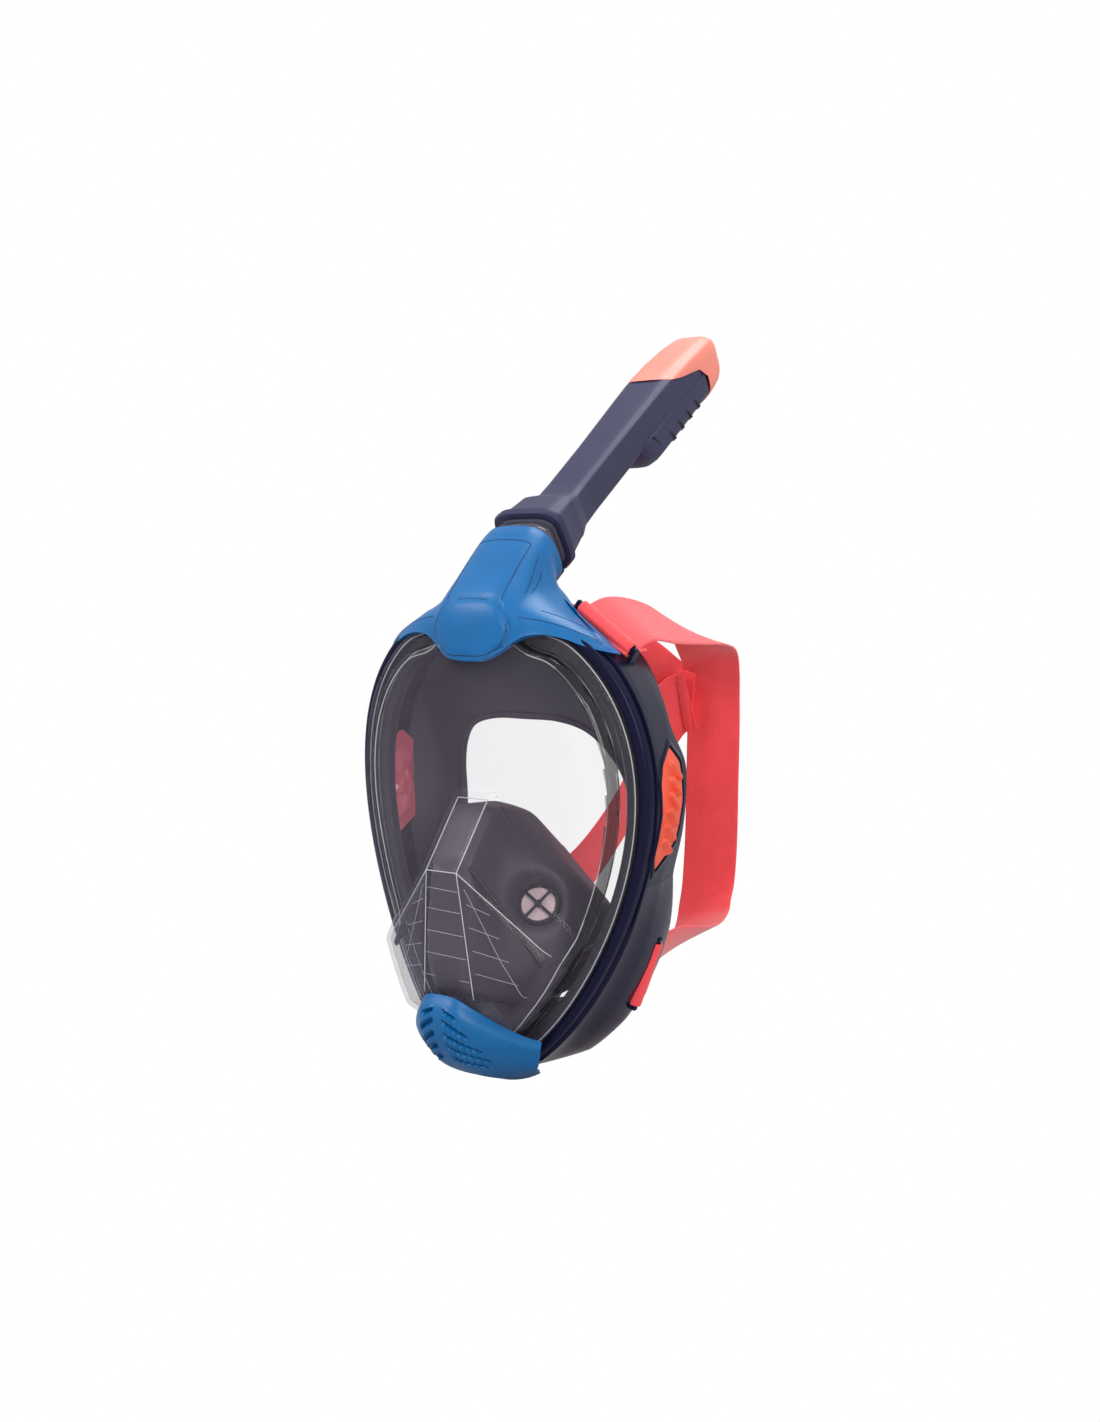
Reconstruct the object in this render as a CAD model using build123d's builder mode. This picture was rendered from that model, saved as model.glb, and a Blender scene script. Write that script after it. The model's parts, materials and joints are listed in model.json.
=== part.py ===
from build123d import *
import math
import os

# Full-face snorkel mask, in millimetres. +X is the wearer's left, the window faces -Y, +Z is up.
# The origin is on the middle plane, in the rear plane of the face seal, at the wearer's eye level.

# --- driving dimensions -------------------------------------------------------------------
RIM_HALF_WIDTH = 90.0        # egg outline of the frame, wider at the top
RIM_HALF_HEIGHT = 128.0
RIM_CENTRE_Z = -10.0
EGG_TAPER = 0.25             # how much wider the egg is above its centre than below
RIM_WIDTH = 6.0              # face width of the front rim
RIM_DEPTH = 8.0
RIM_FRONT_Y = -52.0          # front of the rim at the cheeks, its rearmost place
RIM_TOP_Y = -70.4            # front of the rim at the forehead and at the chin
RIM_CHIN_Y = -63.5
SHELL_WALL = 2.4
LENS_WALL = 2.4
LENS_FACE_Y = -75.0          # front face of the window
SKIRT_WALL = 2.0
OPENING_HALF_WIDTH = 54.0    # face opening of the soft skirt
OPENING_HALF_HEIGHT = 80.0
OPENING_CENTRE_Z = -24.0
SNORKEL_LEAN = 53.3          # lean of the snorkel's axis back from upright, in degrees
COLLAR_FOOT = (0.0, -21.5, 149.0)
COLLAR_SIZE = (41.0, 36.0)
TUBE_SIZE = (26.5, 23.5)
TUBE_WALL = 2.0
TUBE_SHIFT = 2.5             # the tube's centre line lies this far behind the collar's
HEAD_SIZE = (35.0, 40.0)
HEAD_SHIFT = 9.0
HEAD_START = 112.0           # stations along the snorkel's axis, from the collar's foot
HEAD_END = 203.0
CAP_END = 238.0
SPIGOT_SIZE = (32.0, 26.0)
SPIGOT_GAP = 0.3
SPIGOT_END = 17.0
COVER_TOP = -11.0            # station of the neck's rim
FLOAT_RADIUS = 11.0
FLOAT_LENGTH = 30.0
FLOAT_START = 150.0
FLOAT_TRAVEL = 12.0
CUP_VALVE_CENTRE = (30.0, -57.0, -43.0)
CUP_VALVE_AXIS = (0.38, -0.80, 0.46)
CUP_VALVE_RADIUS = 11.0
PURGE_CENTRE = (0.0, -80.0, -113.0)
PURGE_AXIS = (0.0, -0.80, -0.60)
PURGE_RADIUS = 14.0
VALVE_DISC = 0.8
VALVE_LIFT = 1.5
VALVE_GAP = 0.3
STEM_RADIUS = 1.5
STRAP_WIDTH = 38.0
STRAP_THICKNESS = 1.6
BAR_RADIUS = 2.4
LUG_LENGTH = {"upper": 12.0, "lower": 19.0}
UPPER_BAR = ((41.2, -39.0, 115.4), (75.2, -39.0, 90.8))
LOWER_BAR = ((75.9, -10.0, -63.2), (61.4, -10.0, -102.6))
GRIP_OUTLINE = [(-28, 43), (-40, 33), (-43, 24), (-40, 8), (-43, -13), (-39, -22), (-15, -8), (-10, 13), (-14, 34)]
GRIP_HEIGHT = 3.2
GRIP_RIBS = 6
LATCH_PIVOT = (21.4, 14.0)   # behind the axis, and along it
LATCH_PIN_RADIUS = 1.2
SIDES = {"left": 1, "right": -1}

LEAN = math.radians(SNORKEL_LEAN)
AXIS = Vector(0, math.sin(LEAN), math.cos(LEAN))
os.makedirs("parts", exist_ok=True)


# --- helpers ------------------------------------------------------------------------------
def across_y(y):
    """Plane facing the front at depth y, with local x and y along X and Z."""
    return Plane.XZ.offset(-y)


def station(distance, shift=0.0):
    """Plane across the snorkel; its local y points to the snorkel's back and is moved by shift."""
    plane = Plane(origin=Vector(*COLLAR_FOOT) + AXIS * distance, x_dir=(1, 0, 0), z_dir=AXIS)
    return Plane(origin=plane.from_local_coords((0, shift, 0)), x_dir=(1, 0, 0), z_dir=AXIS)


def egg_line(inset=0.0, width=RIM_HALF_WIDTH, height=RIM_HALF_HEIGHT, centre=RIM_CENTRE_Z):
    """Egg-shaped closed line, wider at the top."""
    points = []
    for step in range(24):
        turn = math.radians(15 * step)
        x = (width - inset) * math.cos(turn) * (1 + EGG_TAPER * math.sin(turn))
        points.append((x, centre + (height - inset) * math.sin(turn)))
    with BuildLine() as outline:
        Spline(points, periodic=True)
    return outline.line


def egg_loft(rows, inset=0.0, mode=Mode.ADD):
    """Smooth solid through egg outlines; each row is depth, half width, half height, centre."""
    faces = []
    for y, width, height, centre in rows:
        with BuildSketch(across_y(y)) as section:
            make_face(egg_line(inset, width, height, centre))
        faces.append(section.sketch.face())
    loft(faces, mode=mode)


def rounded_loft(rows, mode=Mode.ADD):
    """Solid through rounded rectangles across the snorkel: station, width, depth, radius, shift."""
    faces = []
    for distance, width, depth, radius, shift in rows:
        with BuildSketch(station(distance, shift)) as section:
            RectangleRounded(width, depth, radius)
        faces.append(section.sketch.face())
    loft(faces, ruled=True, mode=mode)


def side_profile(front_shift, back_points):
    """Outline seen from the side: the rim's front arc in front, the given points behind."""
    top, middle, low = RIM_TOP_Y + front_shift, RIM_FRONT_Y + front_shift, RIM_CHIN_Y + front_shift
    with BuildLine() as outline:
        arc = ThreePointArc((top - 4.0, 140), (middle, -25), (low - 4.0, -160))
        Polyline(arc @ 0, *back_points, arc @ 1)
    return outline.line


def side_band(front_shift, back_shift):
    """Outline seen from the side, between two copies of the rim's front arc."""
    rise = 4.0
    with BuildLine() as outline:
        arcs = []
        for shift in (front_shift, back_shift):
            arcs.append(ThreePointArc((RIM_TOP_Y + shift - rise, 140), (RIM_FRONT_Y + shift, -25),
                                      (RIM_CHIN_Y + shift - rise, -160)))
        Line(arcs[0] @ 0, arcs[1] @ 0)
        Line(arcs[0] @ 1, arcs[1] @ 1)
    return outline.line


def facet_loft(rows, wall=0.0, mode=Mode.ADD):
    """Faceted solid, mirrored about the middle plane, through rows of (y, right-hand corners)."""
    faces = []
    for y, corners in rows:
        middle = sum(z for _, z in corners) / len(corners)
        inner = [(x - wall, z - math.copysign(wall, z - middle)) for x, z in corners]
        with BuildSketch(across_y(y)) as section:
            with BuildLine():
                mirrored = [(-x, z) for x, z in reversed(inner)]
                Polyline(*inner, *mirrored, inner[0])
            make_face()
        faces.append(section.sketch.face())
    loft(faces, ruled=True, mode=mode)


def ribbon(stations, mode=Mode.ADD):
    """Flat strap through (centre, width direction) pairs, in straight runs between them."""
    faces = []
    for index, (centre, across) in enumerate(stations):
        before = Vector(*stations[max(index - 1, 0)][0])
        after = Vector(*stations[min(index + 1, len(stations) - 1)][0])
        along = (after - before).normalized()
        width_dir = Vector(*across)
        width_dir = (width_dir - along * width_dir.dot(along)).normalized()
        with BuildSketch(Plane(origin=centre, x_dir=width_dir, z_dir=along)) as section:
            Rectangle(STRAP_WIDTH, STRAP_THICKNESS)
        faces.append(section.sketch.face())
    loft(faces, ruled=True, mode=mode)


def valve_plane(centre, axis, side=1, rise=0.0):
    """Plane of a check valve, with its normal along the flow."""
    normal = Vector(side * axis[0], axis[1], axis[2]).normalized()
    origin = Vector(side * centre[0], centre[1], centre[2]) + normal * rise
    return Plane(origin=origin, x_dir=(0, -normal.Z, normal.Y), z_dir=normal)


def valve_seat(plane, radius, depth):
    """Spoked ring with a buttoned stem, which holds a valve disc."""
    with BuildPart() as seat:
        with BuildSketch(plane.offset(-depth)) as ring:
            Circle(radius + 1.5)
            Circle(radius - 1.5, mode=Mode.SUBTRACT)
        extrude(ring.sketch, amount=depth)
        with BuildSketch(plane.offset(-2.0)) as spokes:
            with Locations(*[Location((0, 0, 0), (0, 0, angle)) for angle in (45, 135)]):
                Rectangle(2 * radius - 1, 2.0)
            Circle(3.0)
        extrude(spokes.sketch, amount=2.0)
        with BuildSketch(plane.offset(-1.0)) as stem:
            Circle(STEM_RADIUS)
        extrude(stem.sketch, amount=VALVE_DISC + VALVE_LIFT + 2.0)
        with BuildSketch(plane.offset(VALVE_DISC + VALVE_LIFT + 0.8)) as button:
            Circle(STEM_RADIUS + 1.6)
        extrude(button.sketch, amount=1.2)
    return seat


def valve_disc(plane, radius):
    """Soft disc, just off its seat."""
    with BuildPart() as disc:
        with BuildSketch(plane.offset(VALVE_GAP)) as face:
            Circle(radius - 0.8)
            Circle(STEM_RADIUS + VALVE_GAP, mode=Mode.SUBTRACT)
        extrude(face.sketch, amount=VALVE_DISC)
    return disc


def save(builder, label):
    """Label a finished piece and write it."""
    builder.part.label = label
    export_step(builder.part, f"parts/{label}.step")


# --- keep-out solids: spaces that several pieces leave free ------------------------------------
SHELL_ROWS = [(-76, 90, 128, -10), (-48, 90, 128, -10), (-25, 85.5, 124, -10), (8, 82, 119, -9)]
SHELL_BACK = [(-14, 140), (-10, 92), (-18, 70), (-20, 52), (-4, 34), (-4, -6), (-20, -22), (-19, -38),
              (1, -64), (2, -97), (-6, -125), (-30, -160)]
BEAK = [(-62, [(16, 22), (52, -40), (49, -84), (22, -99)]),
        (-78, [(15, 12), (40, -50), (37, -84), (20, -97)]),
        (-103, [(10.5, -21), (12, -46), (15, -76), (16, -86)])]

with BuildPart() as socket_space:
    rounded_loft([(-52, 35, 30, 13, 0), (-13.6, 35, 30, 13, 0)])

with BuildPart() as rim_space:
    with BuildSketch(across_y(-30)):
        make_face(egg_line())
    extrude(amount=60)
    with BuildSketch(Plane.YZ):
        make_face(side_profile(0.0, [(-30, 140), (-30, -160)]))
    extrude(amount=110, both=True, mode=Mode.INTERSECT)

with BuildPart() as shell_space:
    egg_loft(SHELL_ROWS)
    with BuildSketch(Plane.YZ):
        make_face(side_profile(0.0, SHELL_BACK))
    extrude(amount=110, both=True, mode=Mode.INTERSECT)

with BuildPart() as lens_space:
    egg_loft([(-48, 84, 122, -10), (-62, 82, 118, -9.5), (LENS_FACE_Y, 66, 101, -8)])
    facet_loft(BEAK)
    with BuildSketch(Plane.YZ):
        make_face(side_band(-60.0, RIM_DEPTH - 1.0))
    extrude(amount=110, both=True, mode=Mode.INTERSECT)

with BuildPart() as purge_space:
    with BuildSketch(valve_plane(PURGE_CENTRE, PURGE_AXIS, rise=-22)):
        Circle(PURGE_RADIUS + 1.6)
    extrude(amount=28)

with BuildPart() as cup_valve_space:
    for side in SIDES.values():
        with BuildSketch(valve_plane(CUP_VALVE_CENTRE, CUP_VALVE_AXIS, side, rise=-9)):
            Circle(CUP_VALVE_RADIUS + 1.6)
        extrude(amount=15)

# --- window and frame -------------------------------------------------------------------------
with BuildPart() as front_rim:
    with BuildSketch(across_y(-40)):
        make_face(egg_line())
        make_face(egg_line(RIM_WIDTH), mode=Mode.SUBTRACT)
    extrude(amount=50)
    with BuildSketch(Plane.YZ):
        make_face(side_band(0.0, RIM_DEPTH))
    extrude(amount=110, both=True, mode=Mode.INTERSECT)
    add(socket_space.part, mode=Mode.SUBTRACT)
save(front_rim, "front_rim")

with BuildPart() as rear_shell:
    add(shell_space.part)
    egg_loft([(-77, 90, 128, -10)] + SHELL_ROWS[1:3] + [(9, 82, 119, -9)], SHELL_WALL, Mode.SUBTRACT)
    for side in SIDES.values():
        with BuildSketch(Plane.YZ.offset(side * 70)) as housing:
            with BuildLine():
                Polyline(*GRIP_OUTLINE, GRIP_OUTLINE[0])
            make_face()
            offset(amount=4, kind=Kind.INTERSECTION)
            with BuildLine():
                Polyline(*GRIP_OUTLINE, GRIP_OUTLINE[0])
            make_face(mode=Mode.SUBTRACT)
        with BuildPart(mode=Mode.PRIVATE) as frame_layer:
            extrude(housing.sketch, amount=side * 30)
            egg_loft(SHELL_ROWS, -GRIP_HEIGHT * 0.7, Mode.INTERSECT)
            egg_loft(SHELL_ROWS, 1.0, Mode.SUBTRACT)
        add(frame_layer.part)
    add(front_rim.part, mode=Mode.SUBTRACT)
    add(socket_space.part, mode=Mode.SUBTRACT)
save(rear_shell, "rear_shell")

with BuildPart() as lens:
    add(lens_space.part)
    egg_loft([(-47, 84, 122, -10), (-62, 82, 118, -9.5), (LENS_FACE_Y + LENS_WALL, 68, 103, -8)],
             LENS_WALL, Mode.SUBTRACT)
    facet_loft([(-60, BEAK[0][1]), BEAK[1], (BEAK[2][0] + LENS_WALL, BEAK[2][1])], LENS_WALL, Mode.SUBTRACT)
    add(front_rim.part, mode=Mode.SUBTRACT)
    add(socket_space.part, mode=Mode.SUBTRACT)
    add(purge_space.part, mode=Mode.SUBTRACT)
save(lens, "lens")

# --- soft parts inside --------------------------------------------------------------------------
SKIRT_ROWS = [(-24, 81.3, 120.3, -10), (-14, 76, 112, -12), (-5, 64, 94, -19),
              (0, OPENING_HALF_WIDTH + SKIRT_WALL, OPENING_HALF_HEIGHT + SKIRT_WALL, OPENING_CENTRE_Z)]
with BuildPart() as face_skirt:
    egg_loft(SKIRT_ROWS)
    egg_loft([(-25, 81.3, 120.3, -10)] + SKIRT_ROWS[1:3] + [(1.0,) + SKIRT_ROWS[3][1:]], SKIRT_WALL, Mode.SUBTRACT)
save(face_skirt, "face_skirt")

CUP_ROWS = [(-14, [(15, -2), (46, -26), (47, -60), (30, -94)]),
            (-50, [(15, 5), (42, -28), (46, -68), (26, -96)]),
            (-64, [(13, 8), (16, -34), (24, -74), (18, -92)]),
            (-94, [(8.5, -19), (10, -40), (11, -66), (10, -78)])]
with BuildPart() as orinasal_cup:
    facet_loft(CUP_ROWS)
    inner_rows = [(-13, CUP_ROWS[0][1]), CUP_ROWS[1], CUP_ROWS[2], (-92, CUP_ROWS[3][1])]
    facet_loft(inner_rows, SKIRT_WALL, Mode.SUBTRACT)
    add(cup_valve_space.part, mode=Mode.SUBTRACT)
    add(purge_space.part, mode=Mode.SUBTRACT)
save(orinasal_cup, "orinasal_cup")

for name, side in SIDES.items():
    plane = valve_plane(CUP_VALVE_CENTRE, CUP_VALVE_AXIS, side)
    save(valve_seat(plane, CUP_VALVE_RADIUS, 5.0), f"cup_valve_seat_{name}")
    save(valve_disc(plane, CUP_VALVE_RADIUS), f"cup_valve_{name}")

purge_plane = valve_plane(PURGE_CENTRE, PURGE_AXIS)
save(valve_seat(purge_plane, PURGE_RADIUS, 16.0), "purge_valve_seat")
save(valve_disc(purge_plane, PURGE_RADIUS), "purge_valve")

# --- outer covers --------------------------------------------------------------------------------
COVER_ROWS = [(90, 58, -86, -50), (104, 53, -88, -42), (118, 35, -82, -27), (136, 25.5, -64, -11),
              (160, 22.5, -39, 12)]      # height, half width, front and back


def cover_loft(wall, mode=Mode.ADD):
    """Forehead cover and neck as horizontal rounded sections."""
    faces = []
    for height, half_width, front, back in COVER_ROWS:
        rise = -2.0 if wall and height == COVER_ROWS[0][0] else 0.0
        with BuildSketch(Plane.XY.offset(height + rise)) as section:
            with Locations((0, (front + back) / 2)):
                RectangleRounded(2 * (half_width - wall), back - front - 2 * wall, 12)
        faces.append(section.sketch.face())
    loft(faces, ruled=True, mode=mode)


with BuildPart() as top_cover:
    cover_loft(0.0)
    with BuildPart(mode=Mode.PRIVATE) as wings:
        with BuildSketch(across_y(-50)):
            make_face(egg_line(-2.0))
            make_face(egg_line(17.0), mode=Mode.SUBTRACT)
            with Locations((0, 88 - 150)):
                Rectangle(300, 300, mode=Mode.SUBTRACT)
        extrude(amount=34)
        with BuildSketch(Plane.YZ):
            make_face(side_band(-5.0, RIM_DEPTH + 1.0))
        extrude(amount=110, both=True, mode=Mode.INTERSECT)
    add(wings.part)
    with BuildSketch(Plane(origin=(0, -80, 100), x_dir=(1, 0, 0), z_dir=(0, -1, 0.12))):
        with Locations(Location((0, 0, 0), (0, 0, 30))):
            RegularPolygon(21, 6)
    extrude(amount=9)
    cover_loft(3.0, Mode.SUBTRACT)
    with Locations(station(COVER_TOP + 75).location):
        Box(150, 150, 150, mode=Mode.SUBTRACT)
    for blocked in (rim_space, shell_space, lens_space, socket_space):
        add(blocked.part, mode=Mode.SUBTRACT)
save(top_cover, "top_cover")

CHIN_ROWS = [(-44, [(28, -104), (38, -116), (28, -138), (13, -145)]),
             (-76, [(30, -92), (32, -112), (22, -130), (11, -134)]),
             (-101, [(15, -88), (18, -104), (15, -113), (8, -115)])]
with BuildPart() as chin_cover:
    facet_loft(CHIN_ROWS)
    facet_loft([(-43, CHIN_ROWS[0][1]), CHIN_ROWS[1], (-98.5, CHIN_ROWS[2][1])], 2.4, Mode.SUBTRACT)
    for blocked in (rim_space, shell_space, lens_space, purge_space):
        add(blocked.part, mode=Mode.SUBTRACT)
    with Locations(*[(0, -96, z) for z in (-93, -98.5, -104, -109.5, -115)]):
        Box(22, 30, 2.4, mode=Mode.SUBTRACT)
save(chin_cover, "chin_cover")

# --- snorkel connector -----------------------------------------------------------------------------
with BuildPart() as snorkel_socket:
    rounded_loft([(-52, 34.6, 29.6, 12.8, 0), (-13.6, 34.6, 29.6, 12.8, 0)])
    rounded_loft([(-13.6, 38, 33, 13.5, 0), (-0.2, 38, 33, 13.5, 0)])
    rounded_loft([(-0.2, *SPIGOT_SIZE, 11, 0), (SPIGOT_END, *SPIGOT_SIZE, 11, 0)])
    rounded_loft([(-53, 27, 21, 9, 0), (SPIGOT_END + 1, 27, 21, 9, 0)], Mode.SUBTRACT)
    with BuildSketch(station(8.0)):
        RectangleRounded(SPIGOT_SIZE[0] + 2, SPIGOT_SIZE[1] + 2, 12)
        RectangleRounded(SPIGOT_SIZE[0] - 2, SPIGOT_SIZE[1] - 2, 10, mode=Mode.SUBTRACT)
    extrude(amount=2.2, mode=Mode.SUBTRACT)
save(snorkel_socket, "snorkel_socket")

with BuildPart() as socket_seal_ring:
    with BuildSketch(station(8.1)):
        RectangleRounded(SPIGOT_SIZE[0] + 0.4, SPIGOT_SIZE[1] + 0.4, 11.2)
        RectangleRounded(SPIGOT_SIZE[0] - 2, SPIGOT_SIZE[1] - 2, 10, mode=Mode.SUBTRACT)
    extrude(amount=2.0)
save(socket_seal_ring, "socket_seal_ring")

# --- grips, strap bars and straps ---------------------------------------------------------------------
for name, side in SIDES.items():
    with BuildPart() as side_grip:
        with BuildSketch(Plane.YZ.offset(side * 70)):
            with BuildLine():
                Polyline(*GRIP_OUTLINE, GRIP_OUTLINE[0])
            make_face()
            offset(amount=-0.3, kind=Kind.INTERSECTION)
        extrude(amount=side * 30)
        egg_loft(SHELL_ROWS, -GRIP_HEIGHT, Mode.INTERSECT)
        add(shell_space.part, mode=Mode.SUBTRACT)
        with BuildPart(mode=Mode.PRIVATE) as grooves:
            with Locations(*[Location((side * 92, -27, 9 + 8.5 * (k - 2.5)), (28, 0, 0)) for k in range(GRIP_RIBS)]):
                Box(20, 17, 2.6)
            egg_loft(SHELL_ROWS, -GRIP_HEIGHT * 0.55, Mode.SUBTRACT)
        add(grooves.part, mode=Mode.SUBTRACT)
    save(side_grip, f"side_grip_{name}")

BARS = {"upper": UPPER_BAR, "lower": LOWER_BAR}
for level, (first, last) in BARS.items():
    for name, side in SIDES.items():
        start, end = Vector(side * first[0], *first[1:]), Vector(side * last[0], *last[1:])
        along = (end - start).normalized()
        inward = Vector(-side * abs(along.Z), 0, -abs(along.X) if level == "upper" else abs(along.X))
        with BuildPart() as strap_bar:
            with BuildSketch(Plane(origin=start, z_dir=along)):
                Circle(BAR_RADIUS)
            extrude(amount=(end - start).length)
            for corner in (start, end):
                with BuildSketch(Plane(origin=corner - inward * 3, x_dir=along, z_dir=inward)):
                    RectangleRounded(3.0, 9.0, 1.2)
                extrude(amount=LUG_LENGTH[level])
            add(shell_space.part, mode=Mode.SUBTRACT)
            add(rim_space.part, mode=Mode.SUBTRACT)
            add(top_cover.part, mode=Mode.SUBTRACT)
        with BuildPart() as whole_bar:
            add(strap_bar.part.solids().sort_by(SortBy.VOLUME)[-1])
        save(whole_bar, f"strap_bar_{level}_{name}")

# Each strap station is its centre and the direction of its width.
with BuildPart() as head_strap_left:
    ribbon([((58.2, -30.8, 106.5), (0.81, 0, -0.58)), ((57.5, -15, 108), (0.80, 0, -0.6)),
            ((54, 20, 107), (0.77, 0, -0.63)), ((46, 65, 104), (0.84, 0, -0.5)),
            ((36, 108, 98), (0.96, 0, -0.2)), ((27, 141, 88), (0.98, 0, 0.15)), ((22, 157, 76), (0.98, 0, 0.15)),
            ((19.5, 165.5, 60), (1, 0, 0.05)), ((19, 168, 38), (1, 0, 0)), ((19, 168, 0), (1, 0, 0)),
            ((19, 168, -34), (1, 0, 0)), ((19, 165.5, -62), (1, 0, 0.1)), ((21, 157, -76), (1, 0, 0.2)),
            ((26, 143, -84), (0.95, 0, 0.3)), ((37, 110, -87), (0.9, 0, 0.45)),
            ((50, 65, -83), (0.8, 0, 0.6)), ((60, 25, -79), (0.6, 0, 0.8)), ((68.6, -1.4, -83), (0.345, 0, 0.938))])
save(head_strap_left, "head_strap_left")

with BuildPart() as head_strap_right_upper:
    ribbon([((-58.2, -30.8, 107), (0.81, 0, 0.58)), ((-58, -15, 108.5), (0.78, 0, 0.62)),
            ((-57, 20, 108.5), (0.7, 0, 0.72)), ((-52, 65, 103), (0.5, 0, 0.85)),
            ((-40, 105, 91), (0.25, -0.1, 0.95)), ((-25, 138, 75), (0.1, -0.25, 1)),
            ((-12, 152.4, 64), (0, -0.3, 1)), ((-3, 157, 59), (0, -0.32, 1)), ((9, 157.8, 56), (0, -0.32, 1))])
save(head_strap_right_upper, "head_strap_right_upper")

with BuildPart() as head_strap_right_lower:
    ribbon([((9, 153.8, 55), (0, -0.32, 1)), ((1, 153.4, 53.5), (0, -0.32, 1)), ((-8, 147.2, 42), (-0.2, -0.4, 0.8)),
            ((-15, 138, 13), (0.1, -0.5, 0.8)), ((-22, 122, -16), (0.15, -0.65, 0.65)),
            ((-35, 92, -52), (0.1, -0.6, 0.75)), ((-50, 58, -75), (-0.1, -0.4, 0.9)),
            ((-61, 25, -84), (-0.3, -0.1, 0.9)), ((-68.6, -1.4, -83), (-0.345, 0, 0.938))])
save(head_strap_right_lower, "head_strap_right_lower")

with BuildPart() as strap_seam:
    with Locations(Location((6.5, 151, 54.5), (17.8, 0, 0))):
        Box(6, 0.8, STRAP_WIDTH + 4)
save(strap_seam, "strap_seam")

# --- snorkel ----------------------------------------------------------------------------------------------
BORE = (SPIGOT_SIZE[0] + 2 * SPIGOT_GAP, SPIGOT_SIZE[1] + 2 * SPIGOT_GAP)
PIVOT_PLANE = station(LATCH_PIVOT[1], LATCH_PIVOT[0])
with BuildPart() as snorkel_tube:
    rounded_loft([(0.6, *COLLAR_SIZE, 13, 0), (22, 37, 31, 12, 0.5), (36, *TUBE_SIZE, 9, TUBE_SHIFT),
                  (132, *TUBE_SIZE, 9, TUBE_SHIFT)])
    with Locations(*[PIVOT_PLANE.location * Location((x, -2.0, 0)) for x in (-7.6, 7.6)]):
        Box(3.0, 8.4, 6.0)
    rounded_loft([(0, *BORE, 11.2, 0), (SPIGOT_END + 1.5, *BORE, 11.2, 0)], Mode.SUBTRACT)
    inner_size = (TUBE_SIZE[0] - 2 * TUBE_WALL, TUBE_SIZE[1] - 2 * TUBE_WALL)
    rounded_loft([(SPIGOT_END + 1, *inner_size, 7, TUBE_SHIFT), (133, *inner_size, 7, TUBE_SHIFT)], Mode.SUBTRACT)
    with Locations(PIVOT_PLANE.location * Location((0, 0, 0), (0, 90, 0))):
        Cylinder(LATCH_PIN_RADIUS, 40, mode=Mode.SUBTRACT)
save(snorkel_tube, "snorkel_tube")

with BuildPart() as latch_pin:
    with Locations(PIVOT_PLANE.location * Location((0, 0, 0), (0, 90, 0))):
        Cylinder(LATCH_PIN_RADIUS, 18.2)
save(latch_pin, "latch_pin")

with BuildPart() as release_latch:
    with Locations(PIVOT_PLANE.location * Location((0, 0, 0), (0, 90, 0))):
        Cylinder(2.6, 11.6)
    with Locations(PIVOT_PLANE.location * Location((0, 0.6, -5))):
        Box(11.6, 2.8, 8)
    with Locations(PIVOT_PLANE.location * Location((0, 0.6, -13.5))):
        Box(17, 2.8, 13)
        Box(10, 8, 7, mode=Mode.SUBTRACT)
    with Locations(PIVOT_PLANE.location * Location((0, 0, 0), (0, 90, 0))):
        Cylinder(LATCH_PIN_RADIUS + 0.06, 40, mode=Mode.SUBTRACT)
save(release_latch, "release_latch")

with BuildPart() as tube_divider:
    with Locations(station(75, TUBE_SHIFT).location):
        Box(inner_size[0] - 0.2, 1.2, 108)
save(tube_divider, "tube_divider")

HEAD_ROWS = [(HEAD_START, 30, 27, 10, TUBE_SHIFT), (124, 33, 35, 12, 7),
             (136, *HEAD_SIZE, 13, HEAD_SHIFT), (HEAD_END, *HEAD_SIZE, 13, HEAD_SHIFT)]
SEAT_START = FLOAT_START + FLOAT_LENGTH + FLOAT_TRAVEL + 2.0
with BuildPart() as snorkel_head:
    rounded_loft(HEAD_ROWS)
    rounded_loft([(132, 27, 25, 9, 4), (138, 30.6, 35.6, 11, HEAD_SHIFT), (HEAD_END + 1, 30.6, 35.6, 11, HEAD_SHIFT)],
                 Mode.SUBTRACT)
    rounded_loft([(HEAD_START - 1, TUBE_SIZE[0] + 0.1, TUBE_SIZE[1] + 0.1, 9, TUBE_SHIFT),
                  (133, TUBE_SIZE[0] + 0.1, TUBE_SIZE[1] + 0.1, 9, TUBE_SHIFT)], Mode.SUBTRACT)
    with BuildSketch(station(FLOAT_START - 3, HEAD_SHIFT)):
        RectangleRounded(31, 36, 11)
        with PolarLocations(9.5, 4, start_angle=45):
            Circle(4.2, mode=Mode.SUBTRACT)
    extrude(amount=2.6)
    with Locations(*[station(s, HEAD_SHIFT).location * Location((0, 19, 0), (0, 32, 0)) for s in (146, 159, 172, 185)]):
        Box(50, 14, 4.6, mode=Mode.SUBTRACT)
save(snorkel_head, "snorkel_head")

with BuildPart() as float_seat:
    with BuildSketch(station(SEAT_START, HEAD_SHIFT)):
        RectangleRounded(30.4, 35.4, 10.9)
        Circle(7.5, mode=Mode.SUBTRACT)
    extrude(amount=3)
save(float_seat, "float_seat")

with BuildPart() as float_body:
    with BuildSketch(station(FLOAT_START, HEAD_SHIFT)):
        Circle(FLOAT_RADIUS)
    extrude(amount=FLOAT_LENGTH)
    chamfer(float_body.edges().filter_by(GeomType.CIRCLE), 1.5)
save(float_body, "float")

with BuildPart() as float_seal:
    with BuildSketch(station(FLOAT_START + FLOAT_LENGTH, HEAD_SHIFT)):
        Circle(FLOAT_RADIUS - 2)
    extrude(amount=1.6)
save(float_seal, "float_seal")

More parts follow.
